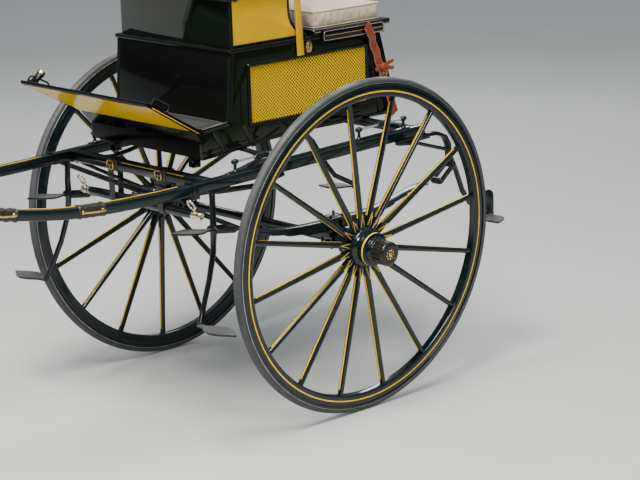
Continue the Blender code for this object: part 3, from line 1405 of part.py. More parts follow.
def rear_seat_frame():
    """The rear seat board on the rim, with the panelled ends that hang over the body's sides."""
    low = SEAT_BASE_Z
    board = box(
        "rear_seat_frame",
        BLACK,
        (REAR_SEAT[0], REAR_SEAT[1], REAR_BOARD_THICKNESS),
        (0, behind(REAR_SEAT_Y), low + REAR_BOARD_THICKNESS / 2),
        edge=0.004,
    )
    ends = []
    for side, sign in SIDES:
        x = sign * (BODY_WIDTH / 2 + RIM_PROUD + GAP + REAR_BOX[0] / 2)
        z = low + REAR_BOARD_THICKNESS - REAR_BOX[2] / 2 - 0.004
        ends.append(box(f"seat_end_{side}", BLACK, REAR_BOX, (x, behind(REAR_BOX_Y), z)))
    rigid(combine(board, ends))


def rear_cushion():
    wide, deep, high = REAR_CUSHION
    base = SEAT_BASE_Z + REAR_BOARD_THICKNESS + GAP
    cushion("rear_cushion", CLOTH, REAR_CUSHION, (0, behind(REAR_SEAT_Y), base + high / 2), 0.016, 0.018)


driver_seat_box()
driver_cushion()
for side, sign in SIDES:
    seat_arm(side, sign)
seat_rest()
rear_seat_frame()
rear_cushion()
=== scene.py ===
"""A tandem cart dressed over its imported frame: turned wheels, varnished paint with yellow lines,
polished slide rods, cane panels, leather straps and stuffed seats.

Metres. The cart drives towards -Y, its left side is +X, and the ground is z = 0.
"""

import math

import bmesh
import bpy
from mathutils import Matrix, Vector
from mathutils.kdtree import KDTree


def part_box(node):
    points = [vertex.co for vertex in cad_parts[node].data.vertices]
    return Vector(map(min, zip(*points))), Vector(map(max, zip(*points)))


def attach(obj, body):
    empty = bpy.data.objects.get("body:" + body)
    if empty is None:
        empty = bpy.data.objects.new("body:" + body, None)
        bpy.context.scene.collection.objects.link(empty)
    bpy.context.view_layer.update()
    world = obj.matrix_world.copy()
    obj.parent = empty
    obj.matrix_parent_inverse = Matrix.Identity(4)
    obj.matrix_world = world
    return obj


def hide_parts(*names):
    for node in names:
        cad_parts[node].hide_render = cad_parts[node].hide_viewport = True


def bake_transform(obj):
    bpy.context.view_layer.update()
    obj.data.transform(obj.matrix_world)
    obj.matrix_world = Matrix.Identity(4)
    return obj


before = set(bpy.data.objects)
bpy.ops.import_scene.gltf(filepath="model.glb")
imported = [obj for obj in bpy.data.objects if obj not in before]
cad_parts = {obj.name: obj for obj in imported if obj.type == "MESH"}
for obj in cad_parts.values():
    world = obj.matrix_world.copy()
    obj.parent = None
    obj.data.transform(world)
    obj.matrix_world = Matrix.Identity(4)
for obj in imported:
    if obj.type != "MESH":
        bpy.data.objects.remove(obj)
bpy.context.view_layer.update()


# Camera

# The photograph was taken from ahead of the left wheel, a little over the height of the seats.
# A long lens from nine metres; its axes are the ones the wheels and shafts were fitted with.
lens_data = bpy.data.cameras.new("camera")
lens_data.lens = 120.54
lens_data.sensor_width = 36.0
lens_data.clip_end = 200.0
camera = bpy.data.objects.new("camera", lens_data)
bpy.context.scene.collection.objects.link(camera)
RIGHT = Vector((0.67485, 0.73724, -0.03252))
UP = Vector((-0.15913, 0.18841, 0.96911))
BACK = Vector((0.72059, -0.64883, 0.24447))
camera.matrix_world = Matrix.Translation((7.0866, -5.1696, 2.9707)) @ (
    Matrix((RIGHT, UP, BACK)).transposed().to_4x4()
)
bpy.context.scene.camera = camera


# Ground and light

# A plain pale studio floor under a soft sky that is bright overhead and dark low down, so that
# black varnish stays black. One broad lamp overhead, one at the front left, a dim one behind.
def feed(node, **values):
    """Sets a node's inputs, each to a value, a colour or another node's socket."""
    for label, value in values.items():
        socket = node.inputs[label.replace("_", " ")]
        if isinstance(value, bpy.types.NodeSocket):
            node.id_data.links.new(value, socket)
        else:
            socket.default_value = (*value, 1.0) if isinstance(value, tuple) else value


def add(tree, kind, **sockets):
    made = tree.nodes.new(f"ShaderNode{kind}")
    feed(made, **sockets)
    return made


def math_of(tree, operation, *values):
    made = tree.nodes.new("ShaderNodeMath")
    made.operation = operation
    for socket, value in zip(made.inputs, values):
        if isinstance(value, bpy.types.NodeSocket):
            tree.links.new(value, socket)
        else:
            socket.default_value = value
    return made.outputs[0]


def product(tree, value, by):
    return math_of(tree, "MULTIPLY", value, by)


def scaled(tree, value, by, plus):
    return math_of(tree, "MULTIPLY_ADD", value, by, plus)


def blend_of(tree, share, first, second):
    """A colour between two colours or colour sockets."""
    made = tree.nodes.new("ShaderNodeMix")
    made.data_type = "RGBA"
    for index, value in ((0, share), (6, first), (7, second)):
        if isinstance(value, bpy.types.NodeSocket):
            tree.links.new(value, made.inputs[index])
        else:
            made.inputs[index].default_value = (*value, 1.0) if isinstance(value, tuple) else value
    return made.outputs[2]


def spot_of(tree, kind="Object"):
    return add(tree, "TexCoord").outputs[kind]


def noise_of(tree, scale, detail=2.0):
    return add(tree, "TexNoise", Vector=spot_of(tree), Scale=scale, Detail=detail).outputs["Fac"]


def span_of(tree, value, low, high):
    """A value spread from low and high to 0 and 1."""
    return add(tree, "MapRange", Value=value, From_Min=low, From_Max=high).outputs[0]


def relief_of(tree, strength, distance, height):
    return add(tree, "Bump", Strength=strength, Distance=distance, Height=height).outputs[0]


def finish_of(name):
    """A new material, its node tree and its Principled shader."""
    made = bpy.data.materials.new(name)
    made.use_nodes = True
    return made, made.node_tree, made.node_tree.nodes["Principled BSDF"]


def mottled(name, scale, detail, first, second, rough, span=None, **plain):
    """A finish that noise shifts between two colours, and its roughness with it."""
    made, tree, shader = finish_of(name)
    value = noise_of(tree, scale, detail)
    if span:
        value = span_of(tree, value, *span)
    feed(shader, Base_Color=blend_of(tree, value, first, second), Roughness=scaled(tree, value, *rough), **plain)
    return made


def lamp(name, place, aim, size, watts, colour):
    data = bpy.data.lights.new(name, "AREA")
    data.shape = "DISK"
    data.size = size
    data.energy = watts
    data.color = colour
    made = bpy.data.objects.new(name, data)
    made.location = place
    made.rotation_euler = (Vector(aim) - Vector(place)).to_track_quat("-Z", "Y").to_euler()
    bpy.context.scene.collection.objects.link(made)


ground_finish, tree, shader = finish_of("studio_floor")
cloud = noise_of(tree, 0.6, 3.0)
feed(shader, Base_Color=blend_of(tree, cloud, (0.50, 0.50, 0.485), (0.56, 0.56, 0.545)), Roughness=0.85)
bm = bmesh.new()
bmesh.ops.create_grid(bm, x_segments=2, y_segments=2, size=60)
bmesh.ops.translate(bm, verts=bm.verts, vec=(0, 0, -0.0005))
ground_mesh = bpy.data.meshes.new("floor")
bm.to_mesh(ground_mesh)
bm.free()
ground_mesh.materials.append(ground_finish)
ground = bpy.data.objects.new("floor", ground_mesh)
bpy.context.scene.collection.objects.link(ground)

world = bpy.data.worlds.new("studio")
bpy.context.scene.world = world
world.use_nodes = True
tree = world.node_tree
upwards = add(tree, "SeparateXYZ", Vector=spot_of(tree, "Generated")).outputs["Z"]
height = span_of(tree, upwards, 0.05, 0.75)
sky_colour = blend_of(tree, height, (0.055, 0.062, 0.070), (0.86, 0.93, 1.0))
feed(tree.nodes["Background"], Color=sky_colour, Strength=0.60)
lamp("overhead", (1.5, -2.0, 7.0), (0, 0, 0.8), 3.6, 1150, (1.0, 0.98, 0.94))
lamp("front_left", (8.0, -2.0, 5.0), (0, 0, 0.9), 1.8, 260, (1.0, 0.98, 0.95))
lamp("behind", (-5.0, 6.0, 4.5), (0, 0, 1.0), 2.4, 150, (0.95, 0.97, 1.0))


# Tyres

# Solid rubber tyres, a little crowned, matt and dusty, with stones' marks along the tread.
# The rubber is drawn into the steel channel with wires; only its shoulders and tread show.
TRACK = 1.415
CAMBER = math.radians(3.26)
AXLE_Y = 0.835
WHEEL_RADIUS = 0.7262
TYRE_TREAD = 0.0072
HUB_HEIGHT = WHEEL_RADIUS * math.cos(CAMBER) + TYRE_TREAD * math.sin(CAMBER)
TYRE_SEAT = WHEEL_RADIUS - 0.0285
TYRE_HALF = 0.019
SHOULDER = WHEEL_RADIUS - 0.012
RIM_STEPS = 160
SIDES = (("left", 1), ("right", -1))


def behind(y):
    """A distance from the axle, backwards positive, as the cart's own Y."""
    return AXLE_Y + y


def upright_line(x, line):
    """A line of (distance behind the axle, height) points at one x, as points of the cart."""
    return [(x, behind(y), z) for y, z in line]


def new_tree(name, inputs, outputs):
    """An empty shader node group with its named sockets and its two ends."""
    tree = bpy.data.node_groups.new(name, "ShaderNodeTree")
    for label, kind, value in inputs:
        socket = tree.interface.new_socket(label, in_out="INPUT", socket_type=kind)
        socket.default_value = value
    for label, kind in outputs:
        tree.interface.new_socket(label, in_out="OUTPUT", socket_type=kind)
    return tree, tree.nodes.new("NodeGroupInput").outputs, tree.nodes.new("NodeGroupOutput").inputs


def place_group(tree, group, **values):
    made = tree.nodes.new("ShaderNodeGroup")
    made.node_tree = group
    feed(made, **values)
    return made.outputs


FLOAT, COLOUR, NORMAL = "NodeSocketFloat", "NodeSocketColor", "NodeSocketVector"

# Road dust: a mask that is stronger on faces that look up and in fine specks
dust_group, given, out = new_tree("road_dust", [("Amount", FLOAT, 0.2)], [("Mask", FLOAT)])
facing = add(dust_group, "SeparateXYZ", Vector=spot_of(dust_group, "Normal")).outputs["Z"]
upward = math_of(dust_group, "POWER", math_of(dust_group, "MAXIMUM", facing, 0.0), 2.0)
patch = span_of(dust_group, noise_of(dust_group, 9.0, 4.0), 0.42, 0.62)
speck = span_of(dust_group, noise_of(dust_group, 380.0, 1.0), 0.60, 0.72)
layer = scaled(dust_group, upward, patch, product(dust_group, speck, 0.35))
dust_group.links.new(product(dust_group, layer, given["Amount"]), out["Mask"])

rubber, tree, shader = finish_of("tyre_rubber")
mottle = noise_of(tree, 38.0, 5.0)
dust = place_group(tree, dust_group, Amount=0.55)["Mask"]
fleck = span_of(tree, noise_of(tree, 150.0, 2.0), 0.66, 0.74)
ground_colour = blend_of(tree, mottle, (0.030, 0.031, 0.033), (0.062, 0.063, 0.066))
ground_colour = blend_of(tree, fleck, ground_colour, (0.16, 0.155, 0.145))
feed(
    shader, Base_Color=blend_of(tree, dust, ground_colour, (0.20, 0.19, 0.175)),
    Roughness=scaled(tree, mottle, 0.18, 0.50), Normal=relief_of(tree, 0.35, 0.0012, noise_of(tree, 260.0, 3.0)),
    Specular_IOR_Level=0.35,
)


def wheel_place(sign):
    """The wheel's own place: its axis is Z, and points away from the cart."""
    turn = Matrix.Rotation(sign * (math.pi / 2 + CAMBER), 4, "Y")
    return Matrix.Translation((sign * TRACK / 2, AXLE_Y, HUB_HEIGHT)) @ turn


def joined(bm, distance):
    bmesh.ops.remove_doubles(bm, verts=bm.verts, dist=distance)
    bmesh.ops.recalc_face_normals(bm, faces=bm.faces)


def spun(points, steps, closed=True):
    """A profile of (radius, height) points turned about Z."""
    bm = bmesh.new()
    verts = [bm.verts.new((r, 0, h)) for r, h in points]
    pairs = list(zip(verts, verts[1:])) + ([(verts[-1], verts[0])] if closed else [])
    edges = [bm.edges.new(pair) for pair in pairs]
    bmesh.ops.spin(
        bm, geom=verts + edges, cent=(0, 0, 0), axis=(0, 0, 1), angle=math.tau, steps=steps, use_merge=True
    )
    joined(bm, 0.000001)
    return bm


def arc(a, b, radius_a, radius_b, start, end, count):
    """Points along a quarter or part of an ellipse, angles in degrees."""
    turns = [math.radians(start + (end - start) * i / (count - 1)) for i in range(count)]
    return [(a + radius_a * math.cos(t), b + radius_b * math.sin(t)) for t in turns]


def settle(name, bm, finishes, body, stands_for=(), angle=35, place=None):
    """A mesh becomes a finished piece on its body, with its place in its mesh. A piece that lies
    between two bodies has None and is attached to none."""
    if place:
        bmesh.ops.transform(bm, matrix=place, verts=bm.verts)
    mesh = bpy.data.meshes.new(name)
    bm.to_mesh(mesh)
    bm.free()
    for finish in finishes:
        mesh.materials.append(finish)
    mesh.shade_smooth()
    mesh.set_sharp_from_angle(angle=math.radians(angle))
    piece = bpy.data.objects.new(name, mesh)
    bpy.context.scene.collection.objects.link(piece)
    if body:
        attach(piece, body)
    if stands_for:
        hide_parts(*stands_for)
    return piece


for side, sign in SIDES:
    crown = arc(SHOULDER, 0, WHEEL_RADIUS - SHOULDER, TYRE_HALF, 90, -90, 13)
    bead = [(TYRE_SEAT, 0.0025 - TYRE_HALF), (TYRE_SEAT, TYRE_HALF - 0.0025), (TYRE_SEAT + 0.004, TYRE_HALF - 0.001)]
    bm = spun(crown + bead, RIM_STEPS)
    settle(
        f"tyre_rubber_{side}", bm, [rubber], f"wheel_{side}", (f"tyre_{side}",), 50, wheel_place(sign)
    )


# Tyre channels

# The rolled steel channel that holds the rubber, painted with the gear. Only the edges of its
# two flanges are worn bare, as thin grey lines beside the tyre.
CHANNEL_SEAT = TYRE_SEAT - 0.0003
CHANNEL_WALL = 0.0040

# Varnished paint: depth of colour, a soft orange peel, and dust where it settles
varnish_group, given, out = new_tree(
    "varnished_paint",
    [("Colour", COLOUR, (0.1, 0.1, 0.1, 1)), ("Dust", FLOAT, 0.1), ("Rough", FLOAT, 0.1), ("Peel", FLOAT, 0.05)],
    [("Colour", COLOUR), ("Roughness", FLOAT), ("Normal", NORMAL)],
)
depth = noise_of(varnish_group, 5.0, 4.0)
dark = add(varnish_group, "HueSaturation", Color=given["Colour"], Value=0.78).outputs[0]
light = add(varnish_group, "HueSaturation", Color=given["Colour"], Value=1.20).outputs[0]
body_colour = blend_of(varnish_group, depth, dark, light)
mask = place_group(varnish_group, dust_group, Amount=given["Dust"])["Mask"]
varnish_group.links.new(blend_of(varnish_group, mask, body_colour, (0.24, 0.23, 0.20)), out["Colour"])
haze = scaled(varnish_group, noise_of(varnish_group, 24.0, 3.0), 0.05, given["Rough"])
varnish_group.links.new(scaled(varnish_group, mask, 0.5, haze), out["Roughness"])
peel = relief_of(varnish_group, given["Peel"], 0.0010, noise_of(varnish_group, 75.0, 2.0))
varnish_group.links.new(peel, out["Normal"])


def grouped(name, group, values, **plain):
    """A finish whose colour, roughness and normal come from a group with its own values."""
    made, tree, shader = finish_of(name)
    film = place_group(tree, group, **values)
    feed(shader, Base_Color=film["Colour"], Roughness=film["Roughness"], Normal=film["Normal"], **plain)
    return made


def painted(name, colour, rough=0.07, dust=0.05, peel=0.04, shine=0.42):
    """Coach paint of one colour under varnish."""
    values = dict(Colour=colour, Dust=dust, Rough=rough, Peel=peel)
    return grouped(name, varnish_group, values, Specular_IOR_Level=shine)


gear_paint = painted("gear_paint", (0.0030, 0.0075, 0.0090), rough=0.10, dust=0.05)
bright, tree, shader = finish_of("channel_steel")
drawn = noise_of(tree, 90.0, 5.0)
stain = span_of(tree, noise_of(tree, 14.0, 4.0), 0.45, 0.70)
feed(
    shader, Base_Color=blend_of(tree, stain, (0.50, 0.51, 0.52), (0.27, 0.27, 0.27)),
    Roughness=scaled(tree, drawn, 0.22, 0.30), Normal=relief_of(tree, 0.12, 0.0006, drawn), Metallic=1.0,
)


def mark(bm, index, wanted):
    """Gives a finish's index to the faces whose middle is wanted."""
    for face in bm.faces:
        if wanted(face.calc_center_median(), face):
            face.material_index = index


for side, sign in SIDES:
    inner = TYRE_HALF + 0.0003
    outer = inner + CHANNEL_WALL * 0.75
    lip = CHANNEL_SEAT + 0.0075
    profile = [(lip - 0.0016, outer), (lip, outer - 0.0010), (lip - 0.0010, inner), (CHANNEL_SEAT, inner)]
    profile += [(r, -h) for r, h in profile[::-1]]
    profile += [(CHANNEL_SEAT - CHANNEL_WALL, -outer), (CHANNEL_SEAT - CHANNEL_WALL, outer)]
    bm = spun(profile, RIM_STEPS)
    mark(bm, 1, lambda c, f: math.hypot(c.x, c.y) > lip - 0.0014)
    settle(
        f"channel_{side}", bm, [gear_paint, bright], f"wheel_{side}", (f"tyre_channel_{side}",), 50,
        wheel_place(sign),
    )


# Felloes

# Bent ash rims in very dark blue-green coach paint under varnish, with one yellow line
# round the face that looks out.
FELLOE_OUTER = CHANNEL_SEAT - CHANNEL_WALL - 0.0003
FELLOE_INNER = FELLOE_OUTER - 0.0490
FELLOE_HALF = 0.021
LINE_INNER, LINE_OUTER = 0.6668, 0.6722

line_paint = painted("line_paint", (0.86, 0.56, 0.004), rough=0.30, dust=0.02, shine=0.30)


for side, sign in SIDES:
    low = FELLOE_INNER + 0.008
    half = [(FELLOE_OUTER, FELLOE_HALF - 0.002), (FELLOE_OUTER - 0.002, FELLOE_HALF)]
    half += [(LINE_OUTER, FELLOE_HALF), (LINE_INNER, FELLOE_HALF), (low + 0.004, FELLOE_HALF)]
    half += arc(low + 0.002, FELLOE_HALF - 0.009, 0.0095, 0.009, 100, 175, 5)
    bm = spun(half + [(r, -h) for r, h in half[::-1]], RIM_STEPS)
    mark(bm, 1, lambda c, f: LINE_INNER < math.hypot(c.x, c.y) < LINE_OUTER and c.z > FELLOE_HALF - 0.001)
    settle(
        f"felloes_{side}", bm, [gear_paint, line_paint], f"wheel_{side}",
        (f"felloe_rim_{side}",), 50, wheel_place(sign),
    )


# Spokes and naves

# Sixteen cleft spokes, oval and tapered, driven into a turned nave with a painted front hoop.
# Each spoke has a yellow line along both of its sides, and a yellow ring runs round the hoop.
SPOKES = 16
SPOKE_ROOT = (0.036, 0.030)
SPOKE_TIP = (0.027, 0.023)
DISH = 0.020
NAVE_RADIUS = 0.0860
NAVE_HOOP = 0.0725
NAVE_FRONT = 0.0560
NAVE_REAR = -0.1120
NAVE_BORE = 0.0325
PHASE = {"left": math.radians(6.05), "right": 0.0}
HALF_FACET = math.pi / 48
ON_EDGE = Matrix(((0, 0, 1, 0), (1, 0, 0, 0), (0, 1, 0, 0), (0, 0, 0, 1)))


def ring_of(bm, points):
    """A closed ring of edges through a few flat points."""
    verts = [bm.verts.new((x, y, 0)) for x, y in points]
    return [bm.edges.new(pair) for pair in zip(verts, verts[1:] + verts[:1])]


def disc(count, radius=1.0, turn=0.0):
    return [
        (radius * math.cos(turn + math.tau * i / count), radius * math.sin(turn + math.tau * i / count))
        for i in range(count)
    ]


def drawn_along(bm, ring, places, capped=True):
    """Draws a flat ring of edges through a row of places, so that it becomes a bar."""
    verts = list({v for e in ring for v in e.verts})
    bmesh.ops.transform(bm, matrix=places[0], verts=verts)
    first = ring
    for before, after in zip(places, places[1:]):
        made = bmesh.ops.extrude_edge_only(bm, edges=ring)["geom"]
        verts = {v for v in made if isinstance(v, bmesh.types.BMVert)}
        bmesh.ops.transform(bm, matrix=after @ before.inverted(), verts=list(verts))
        ring = [e for e in made if isinstance(e, bmesh.types.BMEdge) and e.verts[0] in verts and e.verts[1] in verts]
    if capped:
        bmesh.ops.edgeloop_fill(bm, edges=first)
        bmesh.ops.edgeloop_fill(bm, edges=ring)
    bmesh.ops.recalc_face_normals(bm, faces=bm.faces)
    return bm


def sections(points, side=(1, 0, 0), sizes=None):
    """Places along a line for drawn_along: each section's x lies along side, its y across the line."""
    spots = [Vector(p) for p in points]
    places = []
    for i, spot in enumerate(spots):
        forward = (spots[min(i + 1, len(spots) - 1)] - spots[max(i - 1, 0)]).normalized()
        across = Vector(side)
        across = (across - forward * across.dot(forward)).normalized()
        up = forward.cross(across)
        size = sizes[i] if sizes else (1, 1)
        turn = Matrix((across, up, forward)).transposed().to_4x4()
        places.append(Matrix.Translation(spot) @ turn @ Matrix.Diagonal((*size, 1, 1)))
    return places


def bar_along(bm, points, section, side=(1, 0, 0), sizes=None, capped=True):
    return drawn_along(bm, ring_of(bm, section), sections(points, side, sizes), capped)


def add_copy(bm, other, place):
    """Copies another mesh into this one at a place."""
    mesh = bpy.data.meshes.new("copy")
    other.to_mesh(mesh)
    mesh.transform(place)
    bm.from_mesh(mesh)
    bpy.data.meshes.remove(mesh)


def lump(bm, place, size, around, up):
    """A round lump at a place, its half sizes in size."""
    squashed = place @ Matrix.Diagonal((*size, 1))
    bmesh.ops.create_uvsphere(bm, u_segments=around, v_segments=up, radius=1, matrix=squashed)


def spoke():
    """One spoke along X: its face looks along +Z, and its two sides carry the yellow line."""
    bm = bmesh.new()
    start, end = NAVE_RADIUS - 0.010, FELLOE_INNER + 0.004
    places = []
    for share in (0.0, 0.03, 0.10, 0.22, 0.40, 0.60, 0.80, 0.93, 0.955, 1.0):
        swell = 1.0 + 0.10 * (1 - min(share / 0.10, 1.0))
        deep = (SPOKE_ROOT[0] + (SPOKE_TIP[0] - SPOKE_ROOT[0]) * share ** 0.7) * swell
        wide = SPOKE_ROOT[1] * swell + (SPOKE_TIP[1] - SPOKE_ROOT[1] * swell) * share ** 0.7
        spot = Matrix.Translation((start + (end - start) * share, 0, -DISH * (1 - share)))
        places.append(spot @ ON_EDGE @ Matrix.Diagonal((wide / 2, deep / 2, 1, 1)))
    drawn_along(bm, ring_of(bm, disc(24)), places)
    for face in bm.faces:
        if len(face.verts) != 4:
            continue
        middle = face.calc_center_median()
        share = (middle.x - start) / (end - start)
        off = middle.z + DISH * (1 - share)
        turn = math.degrees(math.atan2(off / SPOKE_ROOT[0], abs(middle.y) / SPOKE_ROOT[1]))
        face.material_index = 1 if abs(turn) < 15 and 0.10 < share < 0.95 else 0
    for end_y in (-0.0095, 0.0095):
        points = []
        for r in (0.094, 0.112, 0.130, 0.150):
            share = (r - start) / (end - start)
            half = SPOKE_ROOT[1] * 0.52
            y = end_y * (0.150 - r) / (0.150 - 0.094)
            rise = SPOKE_ROOT[0] * 0.51 * math.sqrt(1 - (y / half) ** 2)
            points.append((r, y, rise - DISH * (1 - share)))
        line = bmesh.new()
        bar_along(line, points, disc(5, 0.0011), (0, 1, 0))
        mark(line, 1, lambda c, f: True)
        add_copy(bm, line, Matrix.Identity(4))
        line.free()
    return bm


single = spoke()
for side, sign in SIDES:
    profile = [(NAVE_BORE, NAVE_FRONT), (NAVE_HOOP - 0.003, NAVE_FRONT), (NAVE_HOOP, NAVE_FRONT - 0.003)]
    profile += [(NAVE_HOOP, NAVE_FRONT - 0.010), (NAVE_HOOP, NAVE_FRONT - 0.024)]
    profile += [(NAVE_HOOP - 0.003, NAVE_FRONT - 0.027)]
    profile += [(NAVE_HOOP - 0.003, 0.018), (NAVE_RADIUS - 0.004, 0.010), (NAVE_RADIUS, 0.004), (NAVE_RADIUS, -0.044)]
    profile += [(NAVE_RADIUS - 0.004, -0.050), (0.068, -0.072), (0.063, -0.090), (0.063, -0.100), (0.060, -0.103)]
    profile += [(0.060, NAVE_REAR), (NAVE_BORE, NAVE_REAR)]
    bm = spun(profile, 96)
    mark(bm, 1, lambda c, f: NAVE_FRONT - 0.0115 < c.z < NAVE_FRONT - 0.0025 and math.hypot(c.x, c.y) > 0.068)
    for i in range(SPOKES):
        turn = PHASE[side] + HALF_FACET + math.tau * i / SPOKES
        add_copy(bm, single, Matrix.Rotation(turn, 4, "Z"))
        notch = Matrix.Rotation(turn + math.pi / SPOKES, 4, "Z")
        lump(bm, notch @ Matrix.Translation((NAVE_RADIUS - 0.0080, 0, 0.0105)), [0.0042] * 3, 12, 6)
    settle(
        f"spokes_{side}", bm, [gear_paint, line_paint], f"wheel_{side}",
        (f"spokes_and_nave_{side}",), 50, wheel_place(sign),
    )
single.free()


# Axle boxes and hub caps

# The axle box shows as a bright ring inside the nave. The screwed cap over the nut has a plain
# collar in the gear's paint, a fluted brown enamelled grip, and a small gilt rosette on its face.
CAP_RADIUS = 0.0525
CAP_LENGTH = 0.092
FLUTES = 20

enamel = painted("brown_enamel", (0.0085, 0.0062, 0.0050), rough=0.20, dust=0.08)
gilt = mottled(
    "gilt_brass", 60.0, 4.0, (0.83, 0.58, 0.22), (0.52, 0.33, 0.11), (0.20, 0.18), (0.40, 0.70), Metallic=1.0
)

for side, sign in SIDES:
    profile = [(0.0223, NAVE_FRONT + 0.010), (0.0313, NAVE_FRONT + 0.010)]
    profile += [(0.0318, NAVE_FRONT + 0.009), (0.0318, NAVE_REAR - 0.002), (0.0223, NAVE_REAR - 0.002)]
    settle(
        f"box_{side}", spun(profile, 64), [bright], f"wheel_{side}", (f"axle_box_{side}",), 40,
        wheel_place(sign),
    )
    seat = NAVE_FRONT + 0.0003
    top = seat + CAP_LENGTH
    profile = [(0, top - 0.0020), (CAP_RADIUS * 0.60, top - 0.0020), (CAP_RADIUS * 0.64, top), (CAP_RADIUS * 0.74, top)]
    profile += arc(CAP_RADIUS * 0.74, top - 0.012, CAP_RADIUS * 0.26, 0.012, 75, 0, 6)
    profile += [(CAP_RADIUS, height) for height in (top - 0.020, seat + 0.030, seat + 0.026, seat + 0.024)]
    profile += [(CAP_RADIUS * 1.12, seat + 0.019), (CAP_RADIUS * 1.14, seat + 0.017), (CAP_RADIUS * 1.14, seat)]
    profile += [(CAP_RADIUS - 0.006, seat), (CAP_RADIUS - 0.006, top - 0.014), (0, top - 0.010)]
    bm = spun(profile, FLUTES * 4, closed=False)
    for vert in bm.verts:
        radius = math.hypot(vert.co.x, vert.co.y)
        if abs(radius - CAP_RADIUS) < 0.0005 and seat + 0.0245 < vert.co.z < top - 0.010:
            wave = math.cos(FLUTES * math.atan2(vert.co.y, vert.co.x))
            vert.co.xy *= 1 - 0.0030 * max(wave, 0.0) ** 0.5 / CAP_RADIUS
    petals = bmesh.new()
    lump(petals, Matrix.Identity(4), (0.0052, 0.0032, 0.0012), 10, 6)
    for i in range(9):
        turn = Matrix.Rotation(math.tau * i / 9, 4, "Z") @ Matrix.Translation((0.0185, 0, top - 0.0018))
        add_copy(bm, petals, turn)
    petals.free()
    lump(bm, Matrix.Translation((0, 0, top - 0.0012)), (0.0100, 0.0100, 0.0020), 20, 8)
    mark(bm, 1, lambda c, f: math.hypot(c.x, c.y) < 0.0245 and c.z > top - 0.0019)
    mark(bm, 2, lambda c, f: c.z < seat + 0.022)
    settle(
        f"cap_{side}", bm, [enamel, gilt, gear_paint], f"wheel_{side}", (f"hub_cap_{side}",), 40,
        wheel_place(sign),
    )


# Axle

# A forged square bed with drooped arms turned bright for the oil, a collar behind each nave and
# a nut before it; the bed is painted with the gear, the arms and nuts stay bare steel.
def softened(bm, edges, width, steps=2):
    bmesh.ops.bevel(
        bm, geom=edges, offset=width, offset_type="OFFSET", affect="EDGES", segments=steps, profile=0.5, material=-1,
        clamp_overlap=True,
    )


def dressed(node, width=0.0012, corner=50, flat=1.0, steps=2):
    """A copy of a CAD node's mesh, its triangles joined and its sharp edges rounded."""
    bm = bmesh.new()
    bm.from_mesh(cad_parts[node].data)
    bmesh.ops.remove_doubles(bm, verts=bm.verts, dist=0.00001)
    bmesh.ops.dissolve_limit(bm, angle_limit=math.radians(flat), verts=bm.verts, edges=bm.edges)
    bmesh.ops.recalc_face_normals(bm, faces=bm.faces)
    sharp = [e for e in bm.edges if len(e.link_faces) == 2 and e.calc_face_angle() > math.radians(corner)]
    if width and sharp:
        softened(bm, sharp, width, steps)
    return bm


arm_steel = mottled("arm_steel", 130.0, 3.0, (0.42, 0.42, 0.42), (0.62, 0.62, 0.60), (0.2, 0.20), Metallic=1.0)
bm = dressed("axle")
mark(bm, 1, lambda c, f: abs(c.x) > TRACK / 2 - 0.121)
settle("axle_bed", bm, [gear_paint, arm_steel], "axle", ("axle",), 50)


# Side springs

# Five tempered leaves each side, their ends tapered, painted with the gear and clipped on the
# axle. Each spring is made as a front and a rear half, which lie between chassis and axle.
SPRING_X = 0.500
SPRING_WIDTH = 0.044
LEAF = 0.009
LEAF_REACH = (0.440, 0.360, 0.270, 0.170)
FRONT_EYE, REAR_EYE = (-0.565, 0.880), (0.640, 0.872)
SPRING_TOP = [(-0.50, 0.866), (-0.396, 0.843), (-0.297, 0.829), (-0.185, 0.820), (-0.06, 0.817)]
SPRING_TOP += [(0.06, 0.817), (0.185, 0.819), (0.273, 0.828), (0.36, 0.844), (0.44, 0.862), (0.53, 0.876)]
EYE_RADIUS, EYE_BORE = 0.0155, 0.0078


def smooth_line(points, steps):
    """Points along a Catmull-Rom curve through points of any number of dimensions."""
    rows = [tuple(2 * a - b for a, b in zip(points[0], points[1]))] + [tuple(p) for p in points]
    rows.append(tuple(2 * a - b for a, b in zip(points[-1], points[-2])))
    line = []
    for p0, p1, p2, p3 in zip(rows, rows[1:], rows[2:], rows[3:]):
        for i in range(steps):
            t = i / steps
            line.append(tuple(
                0.5 * (2 * b + (c - a) * t + (2 * a - 5 * b + 4 * c - d) * t * t + (3 * b - a - 3 * c + d) * t ** 3)
                for a, b, c, d in zip(p0, p1, p2, p3)
            ))
    return line + [tuple(points[-1])]


def block_section(width, height, corner, steps=3):
    """A rectangle's points with rounded corners."""
    a, b = width / 2 - corner, height / 2 - corner
    points = []
    for i, (x, y) in enumerate(((a, b), (-a, b), (-a, -b), (a, -b))):
        for j in range(steps):
            turn = math.pi / 2 * (i + j / (steps - 1))
            points.append((x + corner * math.cos(turn), y + corner * math.sin(turn)))
    return points


def height_at(line, y):
    for (y0, z0), (y1, z1) in zip(line, line[1:]):
        if y0 <= y <= y1:
            return z0 + (z1 - z0) * (y - y0) / (y1 - y0)
    return line[0][1] if y < line[0][0] else line[-1][1]


